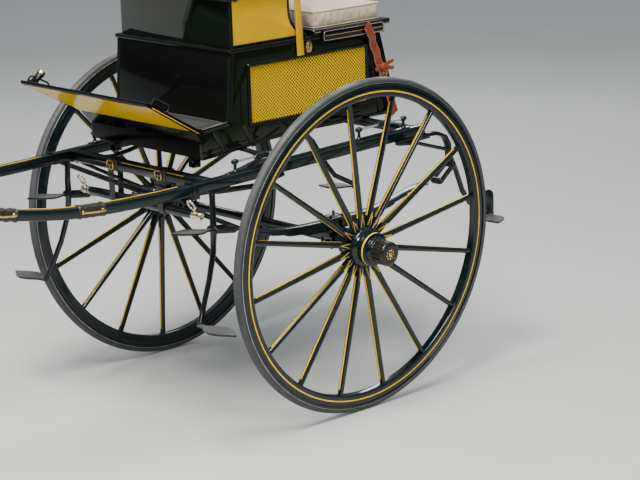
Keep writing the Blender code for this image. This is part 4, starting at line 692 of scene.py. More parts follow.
spring_paint = painted("spring_paint", (0.0050, 0.0100, 0.0120), rough=0.16, dust=0.10)
whole = smooth_line([FRONT_EYE] + SPRING_TOP + [REAR_EYE], 3)
for side, sign in SIDES:
    x = sign * SPRING_X
    bm = bmesh.new()
    main = upright_line(x, [(y, z - LEAF / 2) for y, z in whole[2:-2]])
    bar_along(bm, main, block_section(SPRING_WIDTH, LEAF - 0.0005, 0.002))
    for i, reach in enumerate(LEAF_REACH):
        stations = [-reach, 0.004 - reach] + [reach * (j / 10 - 1) for j in range(1, 20)] + [reach - 0.004, reach]
        line, sizes = [], []
        for y in stations:
            line.append((x, behind(y), height_at(whole, y) - LEAF * (i + 1.5)))
            near_end = min((reach - abs(y)) / 0.030, 1.0)
            sizes.append((0.72 + 0.28 * near_end ** 0.5, 0.62 + 0.38 * near_end ** 0.5))
        bar_along(bm, line, block_section(SPRING_WIDTH, LEAF - 0.0006, 0.0018), sizes=sizes)
    for y, z in (FRONT_EYE, REAR_EYE):
        face = SPRING_WIDTH / 2
        wall = [(EYE_BORE, -face), (EYE_RADIUS - 0.001, -face), (EYE_RADIUS, 0.001 - face)]
        eye = spun(wall + [(r, -h) for r, h in wall[::-1]], 32)
        add_copy(bm, eye, Matrix.Translation((x, behind(y), z)) @ Matrix.Rotation(math.pi / 2, 4, "Y"))
        eye.free()
    for name, facing, eye in (("front", -1, FRONT_EYE), ("rear", 1, REAR_EYE)):
        half = bm.copy()
        bmesh.ops.bisect_plane(
            half, geom=half.verts[:] + half.edges[:] + half.faces[:], dist=0.00001, plane_co=(0, behind(0), 0),
            plane_no=(0, -facing, 0), clear_outer=True,
        )
        bmesh.ops.holes_fill(half, edges=[e for e in half.edges if e.is_boundary], sides=0)
        stands_for = (f"spring_{side}",) if name == "front" else ()
        piece = settle(f"{name}_leaves_{side}", half, [spring_paint], None, stands_for, 40)
        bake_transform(piece)
    bm.free()


# Shackles and spring seats

# Each spring eye hangs between two forged side plates on two pins, the pins' ends riveted over.
# The leaves are held on the axle by a block, two plates and four bolts with square nuts.
iron_paint = painted("iron_paint", (0.0040, 0.0055, 0.0060), rough=0.18, dust=0.10, peel=0.08)
for side, sign in SIDES:
    for name in ("front_shackle", "rear_shackle"):
        settle(
            f"{name}_{side}_plates", dressed(f"{name}_{side}", 0.0015), [iron_paint], "chassis",
            (f"{name}_{side}",), 45,
        )
    bm = dressed(f"spring_seat_{side}", 0.0015)
    settle(f"spring_seat_{side}_clips", bm, [iron_paint], "axle", (f"spring_seat_{side}",), 45)


# Shafts

# Two bent ash shafts, tapered to their tips, varnished very dark green with a yellow line along
# the top. Two black leathers with raised ends are sewn on each, with a brass staple along the
# outer side for the tug, and an iron clip is bolted on just before the front cross bar.
SHAFT_X = 0.480
SHAFT_WIDTH, SHAFT_HEIGHT = 0.044, 0.046
SHAFT_REAR = 0.570
BEND_Y = -0.661
SHAFT_TOP, SHAFT_RISE = 1.119, 0.032
TIP_X = 0.330
CLIP_Y = BEND_Y - 0.075
LEATHERS = ((-1.292, -1.167), (-1.663, -1.555))
LINED = ((-2.62, -0.80), (-0.59, 0.555))
SHAFT_FORE = [
    (-0.85, 1.092, 0.04, 1.00), (-1.01, 1.090, 0.10, 1.00), (-1.18, 1.092, 0.17, 1.00), (-1.35, 1.102, 0.26, 0.99),
    (-1.52, 1.126, 0.36, 0.97), (-1.70, 1.158, 0.47, 0.95), (-1.90, 1.194, 0.60, 0.92), (-2.10, 1.225, 0.72, 0.88),
    (-2.30, 1.248, 0.84, 0.83), (-2.50, 1.257, 0.95, 0.78), (-2.61, 1.260, 1.00, 0.74), (-2.715, 1.260, 1.00, 0.70),
]
shaft_steps = [(y, SHAFT_TOP + SHAFT_RISE * y, 0.0, 1.0) for y in (SHAFT_REAR, 0.30, 0.0, -0.30, -0.60)]
shaft_steps += SHAFT_FORE


def shaft_line(sign):
    """Rows of x, y, z of the shaft's middle and its share of the full section."""
    rows = []
    for y, z, narrowing, share in smooth_line(shaft_steps, 5):
        rows.append((sign * (SHAFT_X + (TIP_X - SHAFT_X) * narrowing), behind(y), z - SHAFT_HEIGHT / 2, share))
    return rows


def on_shaft(sign, y):
    """The place of the shaft's middle at y, with its Z along the shaft, and its share of the section."""
    rows = shaft_line(sign)
    i = min(range(len(rows) - 1), key=lambda k: abs(rows[k][1] - behind(y)))
    places = sections([row[:3] for row in rows])
    return places[i], rows[i][3]


leather_group, given, out = new_tree(
    "leather", [("Colour", COLOUR, (0.2, 0.1, 0.05, 1)), ("Worn", FLOAT, 0.3)],
    [("Colour", COLOUR), ("Roughness", FLOAT), ("Normal", NORMAL)],
)
hide = noise_of(leather_group, 22.0, 5.0)
grain = add(leather_group, "TexVoronoi", Vector=spot_of(leather_group), Scale=620.0).outputs["Distance"]
rubbed = product(leather_group, span_of(leather_group, hide, 0.50, 0.68), given["Worn"])
pale = add(leather_group, "HueSaturation", Color=given["Colour"], Value=1.9, Saturation=0.85).outputs[0]
leather_group.links.new(blend_of(leather_group, rubbed, given["Colour"], pale), out["Colour"])
leather_group.links.new(scaled(leather_group, grain, 0.25, 0.36), out["Roughness"])
relief = math_of(leather_group, "ADD", product(leather_group, grain, 0.5), hide)
leather_group.links.new(relief_of(leather_group, 0.35, 0.0008, relief), out["Normal"])


def hide_of(name, colour, worn, coat):
    return grouped(name, leather_group, dict(Colour=colour, Worn=worn), Coat_Weight=coat, Coat_Roughness=0.3)


tan_leather = hide_of("tan_leather", (0.190, 0.030, 0.004), worn=0.40, coat=0.03)
black_leather = hide_of("black_leather", (0.0085, 0.0068, 0.0058), worn=0.5, coat=0.15)
for side, sign in SIDES:
    rows = shaft_line(sign)
    bm = bmesh.new()
    sizes = [(row[3], row[3]) for row in rows]
    section = block_section(SHAFT_WIDTH, SHAFT_HEIGHT, 0.0078, 4)
    bar_along(bm, [row[:3] for row in rows], section, (1, 0, 0), sizes)
    settle(f"shaft_{side}_bar", bm, [gear_paint], "chassis", (f"shaft_{side}",), 40)
    bm = bmesh.new()
    for first, last in LINED:
        run = [row for row in rows if behind(first) < row[1] < behind(last)]
        line = []
        for spot, row in zip(sections([row[:3] for row in run]), run):
            on_top = Vector((-sign * SHAFT_WIDTH * 0.16 * row[3], SHAFT_HEIGHT / 2 * row[3] - 0.0005, 0))
            line.append(tuple(spot @ on_top))
        bar_along(bm, line, disc(6, 0.0016), (1, 0, 0))
    settle(f"shaft_{side}_lines", bm, [line_paint], "chassis")
    bm = bmesh.new()
    metal = bmesh.new()
    for first, last in LEATHERS:
        steps = 24
        places = []
        for i in range(steps + 1):
            y = first + (last - first) * i / steps
            place, share = on_shaft(sign, y)
            place = Matrix.Translation(Vector((0, behind(y) - place.translation.y, 0))) @ place
            from_end = min(i, steps - i)
            grow = 0.085 + (0.100 if from_end in (1, 2) else 0.0) - (0.075 if from_end == 0 else 0.0)
            places.append(place @ Matrix.Diagonal((share * (1 + grow), share * (1 + grow), 1, 1)))
        drawn_along(bm, ring_of(bm, block_section(SHAFT_WIDTH, SHAFT_HEIGHT, 0.0105, 5)), places)
        out = SHAFT_WIDTH / 2 * share * 1.085
        ends = [first + 0.018, last - 0.018]
        staple = []
        rise = [(ends[0], 0.000), (ends[0], 0.011), (ends[0] + 0.006, 0.015)]
        for y, reach in rise + [(ends[1] - 0.006, 0.015), (ends[1], 0.011), (ends[1], 0.000)]:
            spot, share = on_shaft(sign, y)
            staple.append((spot.translation.x + sign * (out + reach), behind(y), spot.translation.z))
        bar_along(metal, smooth_line(staple, 4), disc(10, 0.0038), (0, 0, 1))
        for y in ends:
            spot, share = on_shaft(sign, y)
            head = Matrix.Translation((spot.translation.x + sign * out, behind(y), spot.translation.z))
            lump(metal, head, (0.0030, 0.0085, 0.0085), 16, 8)
    settle(f"shaft_{side}_leathers", bm, [black_leather], "chassis", angle=45)
    settle(f"shaft_{side}_staple", metal, [gilt], "chassis")
    bm = bmesh.new()
    places = []
    for i in range(5):
        place, share = on_shaft(sign, CLIP_Y + 0.030 * (i / 4 - 0.5))
        place = Matrix.Translation((0, behind(CLIP_Y + 0.030 * (i / 4 - 0.5)) - place.translation.y, 0)) @ place
        places.append(place @ Matrix.Diagonal((1.13, 1.13, 1, 1)))
    drawn_along(bm, ring_of(bm, block_section(SHAFT_WIDTH, SHAFT_HEIGHT, 0.0085, 4)), places)
    place, share = on_shaft(sign, CLIP_Y)
    for across in (-0.009, 0.009):
        nut = place @ Matrix.Translation((across, SHAFT_HEIGHT * 0.565 + 0.003, 0))
        nut = nut @ Matrix.Rotation(-math.pi / 2, 4, "X")
        bmesh.ops.create_cone(bm, cap_ends=True, segments=6, radius1=0.0085, radius2=0.0078, depth=0.006, matrix=nut)
    settle(f"shaft_{side}_clip", bm, [iron_paint], "chassis", angle=30)


# Cross bars

# The front bar is mortised between the shafts and carries the horse's pull; two black leather
# keepers are lapped round it, a fine yellow line runs along its front, and a bowed truss iron
# stiffens it from below. The rear bar is plain.
CROSS_BAR_Y = BEND_Y + 0.022
CROSS_BAR_Z = SHAFT_TOP + SHAFT_RISE * BEND_Y - 0.023
bm = dressed("front_cross_bar", 0.0010, 60)
keepers = [-0.131, 0.199]
mark(bm, 1, lambda c, f: c.z < CROSS_BAR_Z - 0.024 and min(abs(c.x - k) for k in keepers) > 0.012)
mark(bm, 2, lambda c, f: min(abs(c.x - k) for k in keepers) < 0.0114 and c.z > CROSS_BAR_Z - 0.0275)
settle(
    "front_cross_bar_wood", bm, [gear_paint, iron_paint, black_leather], "chassis",
    ("front_cross_bar",), 45,
)
bm = bmesh.new()
for low, high in ((-0.090, 0.134), (0.220, 0.330)):
    y, z = behind(CROSS_BAR_Y) - 0.0222, CROSS_BAR_Z + 0.0170
    bar_along(bm, [(low, y, z), (high, y, z)], disc(6, 0.0009), (0, 0, 1))
settle("front_cross_bar_lines", bm, [line_paint], "chassis")
settle(
    "rear_cross_bar_wood", dressed("rear_cross_bar", 0.0010, 60), [gear_paint], "chassis",
    ("rear_cross_bar",), 45,
)


# Step irons

# Forged irons bolted under the shafts: each carries the spring's front boss, an upper tread and
# a lower tread outside it. The treads are cut leaf shapes with a roughened top, worn to bare grey.
tread_iron, tree, shader = finish_of("worn_tread")
cells = add(tree, "TexVoronoi", Vector=spot_of(tree), Scale=210.0).outputs["Distance"]
wear = noise_of(tree, 45.0, 4.0)
feed(
    shader, Base_Color=blend_of(tree, wear, (0.060, 0.064, 0.068), (0.150, 0.150, 0.148)),
    Roughness=scaled(tree, wear, 0.3, 0.35), Normal=relief_of(tree, 0.9, 0.0016, cells), Metallic=0.55,
)

for side, sign in SIDES:
    for name in ("front_step_iron", "rear_iron"):
        bm = dressed(f"{name}_{side}", 0.0010, 65, flat=0.5)
        mark(
            bm, 1,
            lambda c, f: f.normal.z > 0.95 and f.calc_area() > 0.0004 and (
                c.z < 0.60 or c.y < behind(-0.70) if name == "front_step_iron" else c.z < 0.72
            ),
        )
        settle(
            f"{name}_{side}_forging", bm, [iron_paint, tread_iron], "chassis",
            (f"{name}_{side}",), 40,
        )


# Slide rails

# Polished steel rods stand over each shaft on eyed posts; the body's sleeves slide along them so
# that it can be balanced. The base strap and the posts' round eyes are painted with the gear.
ROD_LIFT = 0.0455
ROD_RADIUS = 0.0055
POSTS = ((-0.510, -0.232), (0.190, 0.458))
SLEEVES = (-0.367, 0.335)

polished = mottled(
    "polished_steel", 170.0, 3.0, (0.86, 0.86, 0.85), (0.95, 0.95, 0.94), (0.12, 0.24), Metallic=1.0
)


def rod_point(sign, y, lift=ROD_LIFT):
    return Vector((sign * SHAFT_X, behind(y), SHAFT_TOP + SHAFT_RISE * y + lift))


def turned_between(bm, start, end, points, steps=24):
    """A turned shape between two points; points are (radius, share of the way) or (radius, length)."""
    start, end = Vector(start), Vector(end)
    shape = spun(points, steps, closed=points[0][0] > 0)
    turn = Vector((0, 0, 1)).rotation_difference(end - start).to_matrix().to_4x4()
    add_copy(bm, shape, Matrix.Translation(start) @ turn)
    shape.free()


for side, sign in SIDES:
    bm = bmesh.new()
    first, last = POSTS[0][0] - 0.030, POSTS[1][1] + 0.030
    steps = [first + (last - first) * i / 12 for i in range(13)]
    bar_along(bm, [rod_point(sign, y, 0.0034) for y in steps], block_section(0.026, 0.006, 0.0015))
    for pair in POSTS:
        for y in pair:
            foot, eye = rod_point(sign, y, 0.005), rod_point(sign, y)
            turned_between(bm, foot, eye, [
                (0, 0), (0.0115, 0), (0.0115, 0.003), (0.0080, 0.007), (0.0066, 0.016), (0.0072, 0.030), (0.0072, 0.040),
                (0, 0.040),
            ], 20)
            ball = [(0, -0.0125)] + [(r, h) for r, h in arc(0, 0, 0.0130, 0.0125, -70, 70, 9)] + [(0, 0.0125)]
            turned_between(bm, eye, rod_point(sign, y + 0.01), ball, 24)
            for reach in (-0.0155, 0.0105):
                turned_between(bm, rod_point(sign, y + reach), rod_point(sign, y + reach + 0.005), [
                    (0, 0), (0.0078, 0), (0.0084, 0.001), (0.0084, 0.004), (0.0078, 0.005), (0, 0.005)
                ], 20)
    settle(f"slide_base_{side}", bm, [gear_paint], "chassis", (f"slide_rail_{side}",), 40)
    bm = bmesh.new()
    for front, rear in POSTS:
        bar_along(bm, [rod_point(sign, front), rod_point(sign, rear)], disc(24, ROD_RADIUS))
    settle(f"slide_rods_{side}", bm, [polished], "chassis", angle=60)


# Swingle bar

# The ash trace bar hangs under the front cross bar. Nickelled ferrules are pinned on its two ends,
# and each carries a forged hook with a round eye for a trace.
SWINGLE_Z = 0.930
SWINGLE_RADIUS = 0.0205
SWINGLE_HALF = 0.352
HOOK_LEAN = math.radians(30)

nickel = mottled(
    "worn_nickel", 70.0, 4.0, (0.74, 0.70, 0.62), (0.68, 0.52, 0.30), (0.12, 0.20), (0.44, 0.62), Metallic=1.0
)

swelling = [
    (0.0172 + (SWINGLE_RADIUS - 0.0172) * math.sin(math.pi / 2 * i / 6), 0.003 + 0.10 * i / 6) for i in range(1, 7)
]
bm = spun(
    [(0, -SWINGLE_HALF), (0.0165, -SWINGLE_HALF), (0.0172, 0.003 - SWINGLE_HALF)]
    + [(r, h - SWINGLE_HALF) for r, h in swelling] + [(r, SWINGLE_HALF - h) for r, h in swelling[::-1]]
    + [(0.0172, SWINGLE_HALF - 0.003), (0.0165, SWINGLE_HALF), (0, SWINGLE_HALF)],
    32, closed=False,
)
place = Matrix.Translation((0, behind(CROSS_BAR_Y), SWINGLE_Z)) @ Matrix.Rotation(math.pi / 2, 4, "Y")
settle("swingle_wood", bm, [gear_paint], "swingle", ("swingle_bar",), 50, place)

for side, sign in SIDES:
    start = SWINGLE_HALF + 0.0003
    place = Matrix.Translation((0, behind(CROSS_BAR_Y), SWINGLE_Z)) @ Matrix.Rotation(sign * math.pi / 2, 4, "Y")
    bm = spun([
        (0, start), (0.0165, start), (0.0175, start + 0.001), (0.0175, start + 0.006), (0.0160, start + 0.008),
        (0.0160, start + 0.040), (0.0172, start + 0.042), (0.0175, start + 0.046), (0.0168, start + 0.051),
        (0.0130, start + 0.0555), (0, start + 0.056),
    ], 32, closed=False)
    ring_x, low, high, wide = start + 0.026, 0.034, 0.080, 0.0190
    upright = Matrix.Translation((0, behind(CROSS_BAR_Y), SWINGLE_Z)) @ Matrix.Diagonal((sign, 1, 1, 1))
    bmesh.ops.transform(bm, matrix=place, verts=bm.verts)
    stem = bmesh.new()
    neck = [(0.008, 0.0095), (0.016, 0.0085), (0.024, 0.0058), (0.036, 0.0052)]
    bar_along(stem, [(ring_x, 0, z) for z, _ in neck], disc(14), (0, 1, 0), [(r, r) for _, r in neck])
    loop = [
        (ring_x + wide * math.cos(t) * (1 - 0.12 * math.sin(t)), 0, (low + high) / 2 + (high - low) / 2 * math.sin(t))
        for t in (math.tau * i / 40 for i in range(41))
    ]
    bar_along(stem, loop, disc(14, 0.0046), (0, 1, 0), capped=False)
    bmesh.ops.remove_doubles(stem, verts=stem.verts, dist=0.00005)
    bmesh.ops.transform(stem, matrix=upright @ Matrix.Rotation(HOOK_LEAN, 4, "X"), verts=stem.verts)
    bmesh.ops.recalc_face_normals(stem, faces=stem.faces)
    add_copy(bm, stem, Matrix.Identity(4))
    stem.free()
    settle(f"trace_hook_{side}_metal", bm, [nickel], "swingle", (f"trace_hook_{side}",), 40)


# Hanger straps

# Two straps of black bridle leather carry the swingle bar, each sewn into a loop round both bars
# and closed in front with a brass roller buckle, its tongue and two keepers. The loop hangs
# between the bars.
HANGER_X = 0.165


def outline_bar(bm, line, width, wall, side=(1, 0, 0)):
    """A closed strap along a closed line, its flat side facing outwards."""
    bar_along(bm, line, block_section(width, wall, wall * 0.3), side, capped=False)
    joined(bm, 0.0002)


def buckle(bm, width, height, wire, place):
    """A rounded brass frame with a roller bar and a tongue, face up in its own XY plane."""
    frame_line = [(x, y, 0) for x, y in block_section(width, height, min(width, height) * 0.28, 5)]
    frame_line.append(frame_line[0])
    piece = bmesh.new()
    bar_along(piece, frame_line, disc(10, wire), (0, 0, 1), capped=False)
    bmesh.ops.remove_doubles(piece, verts=piece.verts, dist=wire * 0.1)
    bar_along(piece, [(-width / 2, 0, 0), (width / 2, 0, 0)], disc(8, wire * 0.8), (0, 0, 1))
    tongue = [(0, 0, wire), (0, -height * 0.25, wire * 1.7), (0, -height / 2 - wire, wire)]
    bar_along(piece, tongue, disc(8, wire * 0.7))
    bmesh.ops.recalc_face_normals(piece, faces=piece.faces)
    add_copy(bm, piece, place)
    piece.free()


for side, sign in SIDES:
    x = sign * HANGER_X
    wall = 0.0038
    grow = 0.0005 + wall / 2
    rear_y, top_z, low_z = CROSS_BAR_Y + 0.022, CROSS_BAR_Z + 0.023, CROSS_BAR_Z - 0.023
    loop = arc(CROSS_BAR_Y, SWINGLE_Z, SWINGLE_RADIUS + grow, SWINGLE_RADIUS + grow, -180, 0, 16)
    loop += [(rear_y + grow, low_z - 0.010), (rear_y + grow, low_z + 0.006), (rear_y + grow, top_z - 0.006)]
    loop += [(rear_y + grow - 0.0025, top_z + grow - 0.0025), (rear_y - 0.006, top_z + grow)]
    loop += [(2 * CROSS_BAR_Y - y, z) for y, z in loop[:-6:-1]]
    loop.append(loop[0])
    bm = bmesh.new()
    outline_bar(bm, upright_line(x, loop), 0.0385, wall)
    front = behind(2 * CROSS_BAR_Y - rear_y - grow)
    for z in (low_z - 0.024, low_z - 0.052):
        keeper = [(x + a, front - 0.0030 + b, z) for a, b in block_section(0.0425, 0.0072, 0.002, 3)]
        keeper.append(keeper[0])
        bar_along(bm, keeper, block_section(0.0090, 0.0018, 0.0005), (0, 0, 1), capped=False)
    bmesh.ops.remove_doubles(bm, verts=bm.verts, dist=0.0001)
    strap = settle(
        f"hanger_strap_{side}_leather", bm, [black_leather], None, (f"hanger_strap_{side}",), 45
    )
    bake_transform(strap)
    bm = bmesh.new()
    face = Matrix.Translation((x, front - 0.0038, CROSS_BAR_Z - 0.001)) @ Matrix.Rotation(math.pi / 2, 4, "X")
    buckle(bm, 0.042, 0.038, 0.0018, face)
    settle(f"hanger_buckle_{side}", bm, [gilt], "chassis")


# Body boards

# Poplar boards on an ash frame, puttied, rubbed down and varnished black with a green cast:
# two side panels, front panel, bottom boards and foot well, with two small blocks under its front.
# The side panels' green cast is partly the paint's own and partly a painted reflection of green
# surroundings; the bottom boards and foot well have a darker, duller black as painted shade.
BODY_WIDTH = 0.76
WALL = 0.018
HALF = BODY_WIDTH / 2
FOOT_FLOOR_TOP, FOOT_FRONT = 1.282, -0.597
PANEL_FOOT, PANEL_TOP_Y, RIM_Z = -0.452, -0.428, 1.572
TAIL_FOOT_Y, TAIL_FOOT_Z = 0.520, 1.192
BODY_UNDER = [(FOOT_FRONT, 1.152), (-0.43, 1.163), (-0.22, 1.182), (0.0, 1.190)]
BODY_UNDER.append((TAIL_FOOT_Y, TAIL_FOOT_Z - 0.004))
CANE_FRONT, CANE_REAR, CANE_LOW, CANE_HIGH = -0.325, 0.335, 1.268, 1.503


def block(bm, middle, size):
    bmesh.ops.create_cube(bm, size=1, matrix=Matrix.Translation(middle) @ Matrix.Diagonal((*size, 1)))


# Black with a green cast, partly the paint's own and partly a painted reflection of green surroundings.
panel_paint = painted("panel_paint", (0.0048, 0.0078, 0.0028), rough=0.04, dust=0.02, peel=0.02, shine=0.26)
black_paint = painted("black_paint", (0.0024, 0.0028, 0.0024), rough=0.05, dust=0.03, peel=0.03, shine=0.32)
# A darker, nearly unreflecting black for the boards under and before the body: painted shade.
shaded_under_black = painted("shaded_under_black", (0.0010, 0.0011, 0.0010), rough=0.12, dust=0.01, peel=0.03, shine=0.05)
for side, sign in SIDES:
    bm = dressed(f"side_panel_{side}", 0.0015, 40)
    settle(f"side_board_{side}", bm, [panel_paint], "body", (f"side_panel_{side}",), 45)
for name, finish in (("boot_floor", shaded_under_black), ("foot_well", shaded_under_black), ("front_panel", black_paint)):
    settle(f"{name}_board", dressed(name, 0.0012, 40), [finish], "body", (name,), 45)
bm = bmesh.new()
for x in (-0.269, 0.269):
    block(bm, (x, behind(-0.552), 1.127), (0.038, 0.038, 0.046))
softened(bm, bm.edges[:], 0.003)
settle("body_blocks", bm, [black_paint], "body")


def half_round(bm, line, width, height, side, closed=False):
    """A half-round bead along a line that lies on a face; side is the face's outward normal."""
    section = [(height * math.sin(t), -width / 2 * math.cos(t)) for t in (math.pi * i / 8 for i in range(9))]
    bar_along(bm, line, section, side, capped=not closed)
    if closed:
        joined(bm, 0.0001)


def rounded_path(points, radius, steps=5):
    """A closed line of (y, z) points whose corners are rounded, its last point on its first."""
    line = []
    for before, corner, after in zip(points[-1:] + points[:-1], points, points[1:] + points[:1]):
        c = Vector(corner)
        a, b = c + (Vector(before) - c).normalized() * radius, c + (Vector(after) - c).normalized() * radius
        shares = [i / steps for i in range(steps + 1)]
        line += [tuple(a * (1 - t) ** 2 + c * 2 * t * (1 - t) + b * t * t) for t in shares]
    return line + [line[0]]


# Cane work

# Sham cane: yellow lines of thick paint laid over a dark ground in a diagonal lattice, as woven
# rattan looks, within a raised half-round frame on each side of the body. The darker gold where
# the strands cross is painted shade.
CANE_STEP = 0.0158

cane, tree, shader = finish_of("cane_work")
parts = add(tree, "SeparateXYZ", Vector=spot_of(tree)).outputs
waves = []
for way in ("ADD", "SUBTRACT"):
    along = product(tree, math_of(tree, way, parts["Y"], parts["Z"]), 1 / CANE_STEP)
    centred = math_of(tree, "SUBTRACT", math_of(tree, "FRACT", along), 0.5)
    waves.append(math_of(tree, "ABSOLUTE", centred))
strand = math_of(tree, "MAXIMUM", waves[0], waves[1])
cover = span_of(tree, strand, 0.345, 0.375)
crossing_shade = math_of(tree, "ABSOLUTE", math_of(tree, "SUBTRACT", waves[0], waves[1]))
tone = noise_of(tree, 55.0, 4.0)
straw = blend_of(tree, tone, (0.86, 0.52, 0.002), (1.0, 0.68, 0.008))
# Darker gold where the strands cross: painted shade at the crossings.
straw = blend_of(tree, span_of(tree, crossing_shade, 0.0, 0.05), (0.42, 0.22, 0.001), straw)
feed(
    shader, Base_Color=blend_of(tree, cover, (0.004, 0.003, 0.002), straw),
    Roughness=scaled(tree, tone, 0.15, 0.40), Normal=relief_of(tree, 0.8, 0.0012, strand), Specular_IOR_Level=0.12,
)

for side, sign in SIDES:
    bm = bmesh.new()
    low, high = CANE_LOW + 0.0005, CANE_HIGH - 0.0005
    bmesh.ops.create_cube(bm, size=1)
    bmesh.ops.scale(bm, vec=(0.005, CANE_REAR - CANE_FRONT - 0.001, high - low), verts=bm.verts)
    place = (sign * (HALF - 0.007 + 0.0003 + 0.0025), behind((CANE_FRONT + CANE_REAR) / 2), (low + high) / 2)
    bmesh.ops.translate(bm, verts=bm.verts, vec=place)
    settle(f"cane_{side}", bm, [cane], "body", (f"cane_panel_{side}",), 30)
    bm = bmesh.new()
    corners = [(-0.334, 1.258), (0.344, 1.258), (0.344, 1.513), (-0.334, 1.513)]
    frame_line = upright_line(sign * HALF, rounded_path(corners, 0.006))
    half_round(bm, frame_line, 0.017, 0.0085, (sign, 0, 0), closed=True)
    settle(f"cane_frame_{side}", bm, [black_paint], "body")


# Body mouldings and irons

# Half-round beads follow the body's lower edge and its corners; two iron straps hold the foot
# well to each side, and an oval brass escutcheon has the keyhole of the under-seat locker.
for side, sign in SIDES:
    bm = bmesh.new()
    under = [(y, z + 0.010) for y, z in smooth_line(BODY_UNDER, 6)[2:-1]]
    corner = [(PANEL_FOOT + 0.010, FOOT_FLOOR_TOP + 0.004), (PANEL_TOP_Y + 0.009, RIM_Z - 0.002)]
    sill = [(FOOT_FRONT + 0.006, FOOT_FLOOR_TOP - 0.018), (PANEL_FOOT, FOOT_FLOOR_TOP - 0.006)]
    rear = [(0.350, RIM_Z - 0.002), (0.408, 1.206)]
    runs = ((under, 0.012, 0.006), (corner, 0.018, 0.008), (sill, 0.011, 0.005), (rear, 0.009, 0.005))
    for line, width, height in runs:
        half_round(bm, upright_line(sign * HALF, line), width, height, (sign, 0, 0))
    settle(f"body_beads_{side}", bm, [black_paint], "body")
    bm = bmesh.new()
    straps = [[(-0.532, 1.269), (-0.520, 1.240), (-0.492, 1.205), (-0.475, 1.170)]]
    straps.append([(-0.371, 1.262), (-0.352, 1.230), (-0.330, 1.195), (-0.320, 1.170)])
    for line in straps:
        spots = upright_line(sign * (HALF + 0.0022), smooth_line(line, 5))
        bar_along(bm, spots, block_section(0.0044, 0.024, 0.0012), (sign, 0, 0))
        for y, z in (line[0], line[-1]):
            inner = Vector((0, 0.004, -0.008 if z > 1.2 else 0.010))
            head = [(0, 0.0045), (0.0030, 0.0042), (0.0055, 0.0030), (0.0062, 0.0010), (0.0062, 0), (0, 0)]
            spot = Vector((sign * (HALF + 0.0043), behind(y), z)) + inner
            turned_between(bm, spot, spot + Vector((sign * 0.01, 0, 0)), head[::-1], 16)
    settle(f"body_straps_{side}", bm, [iron_paint], "body")
bm = bmesh.new()
oval = spun([(0.0, 0.0020), (0.90, 0.0020), (1.0, 0.0010), (1.0, 0.0), (0.0, 0.0)], 48, closed=False)
keyhole = spun([(0.0, 0.0006), (1.0, 0.0006), (1.0, 0.0), (0.0, 0.0)], 24, closed=False)
for shape, out, z, high, wide in (
    (oval, 0.0, 0.0, 0.0285, 0.0175), (oval, 0.0018, 0.0, 0.0215, 0.0115),
    (keyhole, 0.0037, 0.004, 0.0030, 0.0030), (keyhole, 0.0037, -0.004, 0.0065, 0.0016),
):
    place = Matrix.Translation((HALF + out, behind(0.008), 1.547 + z)) @ Matrix.Rotation(math.pi / 2, 4, "Y")
    add_copy(bm, shape, place @ Matrix.Diagonal((high, wide, 1, 1)))
oval.free()
keyhole.free()
mark(bm, 1, lambda c, f: c.x > HALF + 0.0039)
settle("escutcheon", bm, [gilt, black_paint], "body")


# Rim

# A rounded ash moulding screwed along the top edge of the front and side panels.
settle(
    "rim_moulding", dressed("body_rim", 0.0055, 60, steps=4), [black_paint], "body",
    ("body_rim",), 40,
)


# Toe board

# The sloping board for the driver's feet: its underside painted yellow within a black border, a
# yellow line on each cheek, a black lip along the top and a thin black grab rail at each end.
# The underside's yellow is a darker, duller copy of the yellow paint: painted shade.
TOE_HALF, TOE_FOOT_HALF = 0.440, 0.388
TOE_LOW, TOE_HIGH = Vector((FOOT_FRONT - 0.0003, 1.276)), Vector((-0.903, 1.4435))
TOE_DIRECTION = (TOE_HIGH - TOE_LOW).normalized()
TOE_LENGTH = (TOE_HIGH - TOE_LOW).length
TOE_NORMAL = Vector((TOE_DIRECTION.y, -TOE_DIRECTION.x))


def on_toe(share, lift):
    """A (y, z) point on the toe board: share of its length from the floor, lift above its top."""
    return TOE_LOW + TOE_DIRECTION * TOE_LENGTH * share + TOE_NORMAL * lift


def off_toe(c):
    """Share along the board and height over its top of a point in the cart's own place."""
    off = Vector((c.y - AXLE_Y, c.z)) - TOE_LOW
    return off.dot(TOE_DIRECTION) / TOE_LENGTH, off.dot(TOE_NORMAL)


# A darker, duller copy of the yellow paint for the board's underside: painted shade.
toe_shaded_yellow = painted("toe_shaded_yellow", (0.58, 0.36, 0.002), rough=0.14, dust=0.0, peel=0.03, shine=0.02)
bm = dressed("toe_board", 0.0, 50)
under = [f for f in bm.faces if f.normal.z < -0.3 and f.calc_area() > 0.15]
bmesh.ops.inset_individual(bm, faces=under, thickness=0.026, depth=0.0)
for face in under:
    face.material_index = 1
board_edges = [
    e for e in bm.edges
    if len(e.link_faces) == 2 and e.calc_face_angle() > math.radians(50) and off_toe(e.verts[0].co)[1] < 0.0004
    and off_toe(e.verts[1].co)[1] < 0.0004 and e.calc_length() > 0.012
]
softened(bm, board_edges, 0.0022)
mark(bm, 2, lambda c, f: off_toe(c)[1] > 0.0012)
settle("toe_boards", bm, [shaded_under_black, toe_shaded_yellow, iron_paint], "body", ("toe_board",), 40)
bm = bmesh.new()
for side, sign in SIDES:
    line = []
    for share, lift in ((0.05, -0.015), (0.93, -0.0105)):
        half = TOE_FOOT_HALF + (TOE_HALF - TOE_FOOT_HALF) * share
        y, z = on_toe(share, lift)
        line.append((sign * (half + 0.0003), behind(y), z))
    bar_along(bm, line, disc(6, 0.0014))
settle("toe_board_lines", bm, [line_paint], "body")
bm = bmesh.new()
y, z = on_toe(0.992, -0.006)
lip = [(x * TOE_HALF, behind(y) - 0.003, z) for x in (-0.985, -0.5, 0.0, 0.5, 0.985)]
bar_along(bm, lip, block_section(0.010, 0.017, 0.004), (0, 1, 0))
